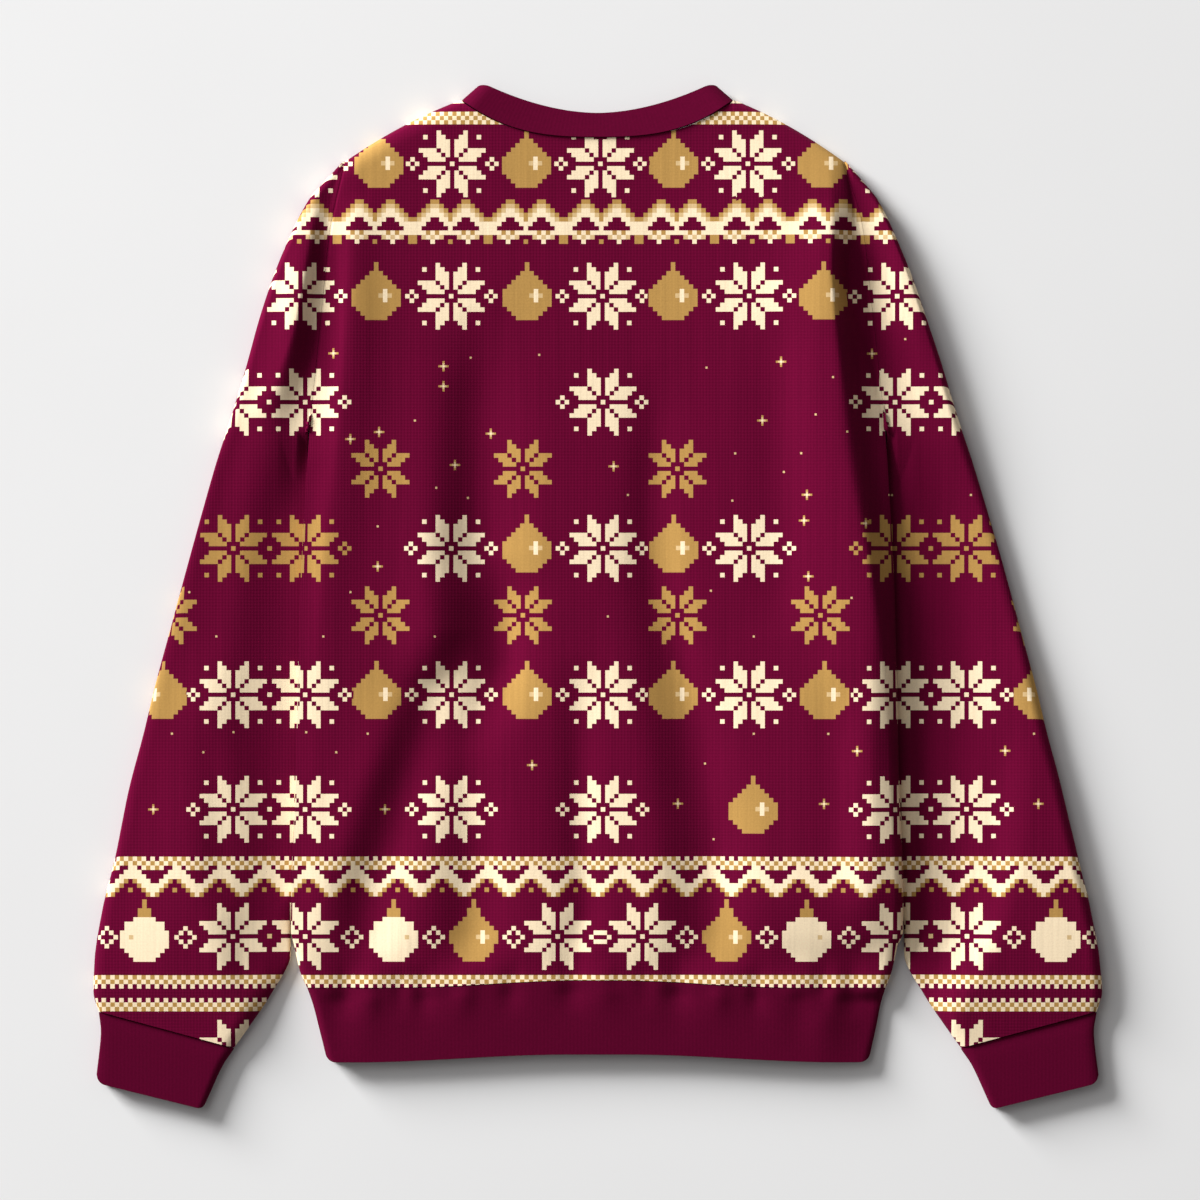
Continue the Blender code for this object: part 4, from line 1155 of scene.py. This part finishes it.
# What each piece stands for, its finish, its cut in metres and square metres, and what it lies on.
cut = [
    (back, "back_body", "printed_fleece", (0.46, 0.66), 0.262, ["shirtFront", "leftSleeve", "rightSleeve"]),
    (front, "front_body", "printed_fleece", (0.46, 0.66), 0.250,
     ["studioFloor", "leftSleeve", "rightSleeve"]),
    (tubes["leftSleeve"], "sleeve_left", "printed_fleece", (0.42, 0.56), 0.125, ["studioFloor"]),
    (tubes["rightSleeve"], "sleeve_right", "printed_fleece", (0.42, 0.56), 0.125, ["studioFloor"]),
    (tubes["leftCuff"], "cuff_left", "rib_knit", (0.20, 0.045), None, ["studioFloor"]),
    (tubes["rightCuff"], "cuff_right", "rib_knit", (0.20, 0.045), None, ["studioFloor"]),
    (hemBand, "waistband", "rib_knit", (0.80, 0.052), None, ["studioFloor"]),
    (collar, "neck_rib", "rib_knit", (0.44, 0.02), None, ["shirtFront"]),
]

stage = {
    "floorColour": "#EBEBEB",
    "floorReach": 12.0,
    "floorLevel": -0.0002,
    "keyPower": 5800.0,
    "keyDirection": (-0.78, 0.62),
    "keyElevation": 18.0,
    "keyDistance": 16.0,
    "keySize": 6.2,
    "fillPower": 190.0,
    "fillElevation": 48.0,
    "fillDistance": 9.0,
    "fillSize": 7.0,
    "ambient": (0.16, 0.156, 0.155),
    "cameraHeight": 5.0,
    "viewWidth": 0.84,    # at the height of the cloth, which is next
    "clothHeight": 0.009,
    "viewCentre": (0.0015, -0.0025),
}


def studioFloor(values):
    # a wide level square of matt white paint, even and without gloss
    material, add = newMaterial("paintedFloor")
    place = add("TexCoord").outputs["Object"]
    grain = add("TexNoise", {"Vector": place, "Scale": 6.0, "Detail": 2.0})
    shade = add("MapRange", {0: grain, 1: 0.3, 2: 0.7, 3: 0.995, 4: 1.005})
    colour = add("VectorMath", {0: linear(values["floorColour"])[:3], "Scale": shade}, operation="SCALE")
    shader = add("BsdfPrincipled", {"Base Color": colour, "Roughness": 0.9, "Specular IOR Level": 0.1})
    add("OutputMaterial", {0: shader})
    mesh = bpy.data.meshes.new("studioFloor")
    reach = values["floorReach"]
    level = values["floorLevel"]
    corners = [(-reach, -reach, level), (reach, -reach, level), (reach, reach, level), (-reach, reach, level)]
    mesh.from_pydata(corners, [], [(0, 1, 2, 3)])
    mesh.materials.append(material)
    floor = bpy.data.objects.new("studioFloor", mesh)
    bpy.context.scene.collection.objects.link(floor)
    return floor


floor = studioFloor(stage)

for piece, node, slotName, flat, area, under in cut:
    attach(piece, "root")
    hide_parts(node)


def addLights(values):
    # a large soft box low on the left behind the neck, a second one above it, and weak
    # even light from all round
    turn = math.atan2(values["keyDirection"][1], values["keyDirection"][0])
    for name in ("key", "fill"):
        elevation = math.radians(values[name + "Elevation"])
        light = bpy.data.lights.new(name + "Box", "AREA")
        light.shape = "SQUARE"
        light.size = values[name + "Size"]
        light.energy = values[name + "Power"]
        lamp = bpy.data.objects.new(name + "Box", light)
        reach = values[name + "Distance"] * math.cos(elevation)
        lamp.location = (reach * math.cos(turn), reach * math.sin(turn),
                         values[name + "Distance"] * math.sin(elevation))
        lamp.rotation_euler = (math.pi / 2 - elevation, 0.0, turn + math.pi / 2)
        bpy.context.scene.collection.objects.link(lamp)
    world = bpy.data.worlds.new("studio")
    world.use_nodes = True
    world.node_tree.nodes["Background"].inputs[0].default_value = (*values["ambient"], 1.0)
    world.node_tree.nodes["Background"].inputs[1].default_value = 1.0
    bpy.context.scene.world = world


def addCamera(values):
    # straight above, level with the picture's edges
    lens = bpy.data.cameras.new("above")
    lens.sensor_width = 36.0
    lens.lens = lens.sensor_width * (values["cameraHeight"] - values["clothHeight"]) / values["viewWidth"]
    camera = bpy.data.objects.new("above", lens)
    camera.location = (*values["viewCentre"], values["cameraHeight"])
    bpy.context.scene.collection.objects.link(camera)
    bpy.context.scene.camera = camera


addLights(stage)
addCamera(stage)
bpy.context.scene.view_settings.view_transform = "Standard"
print("stage ready")
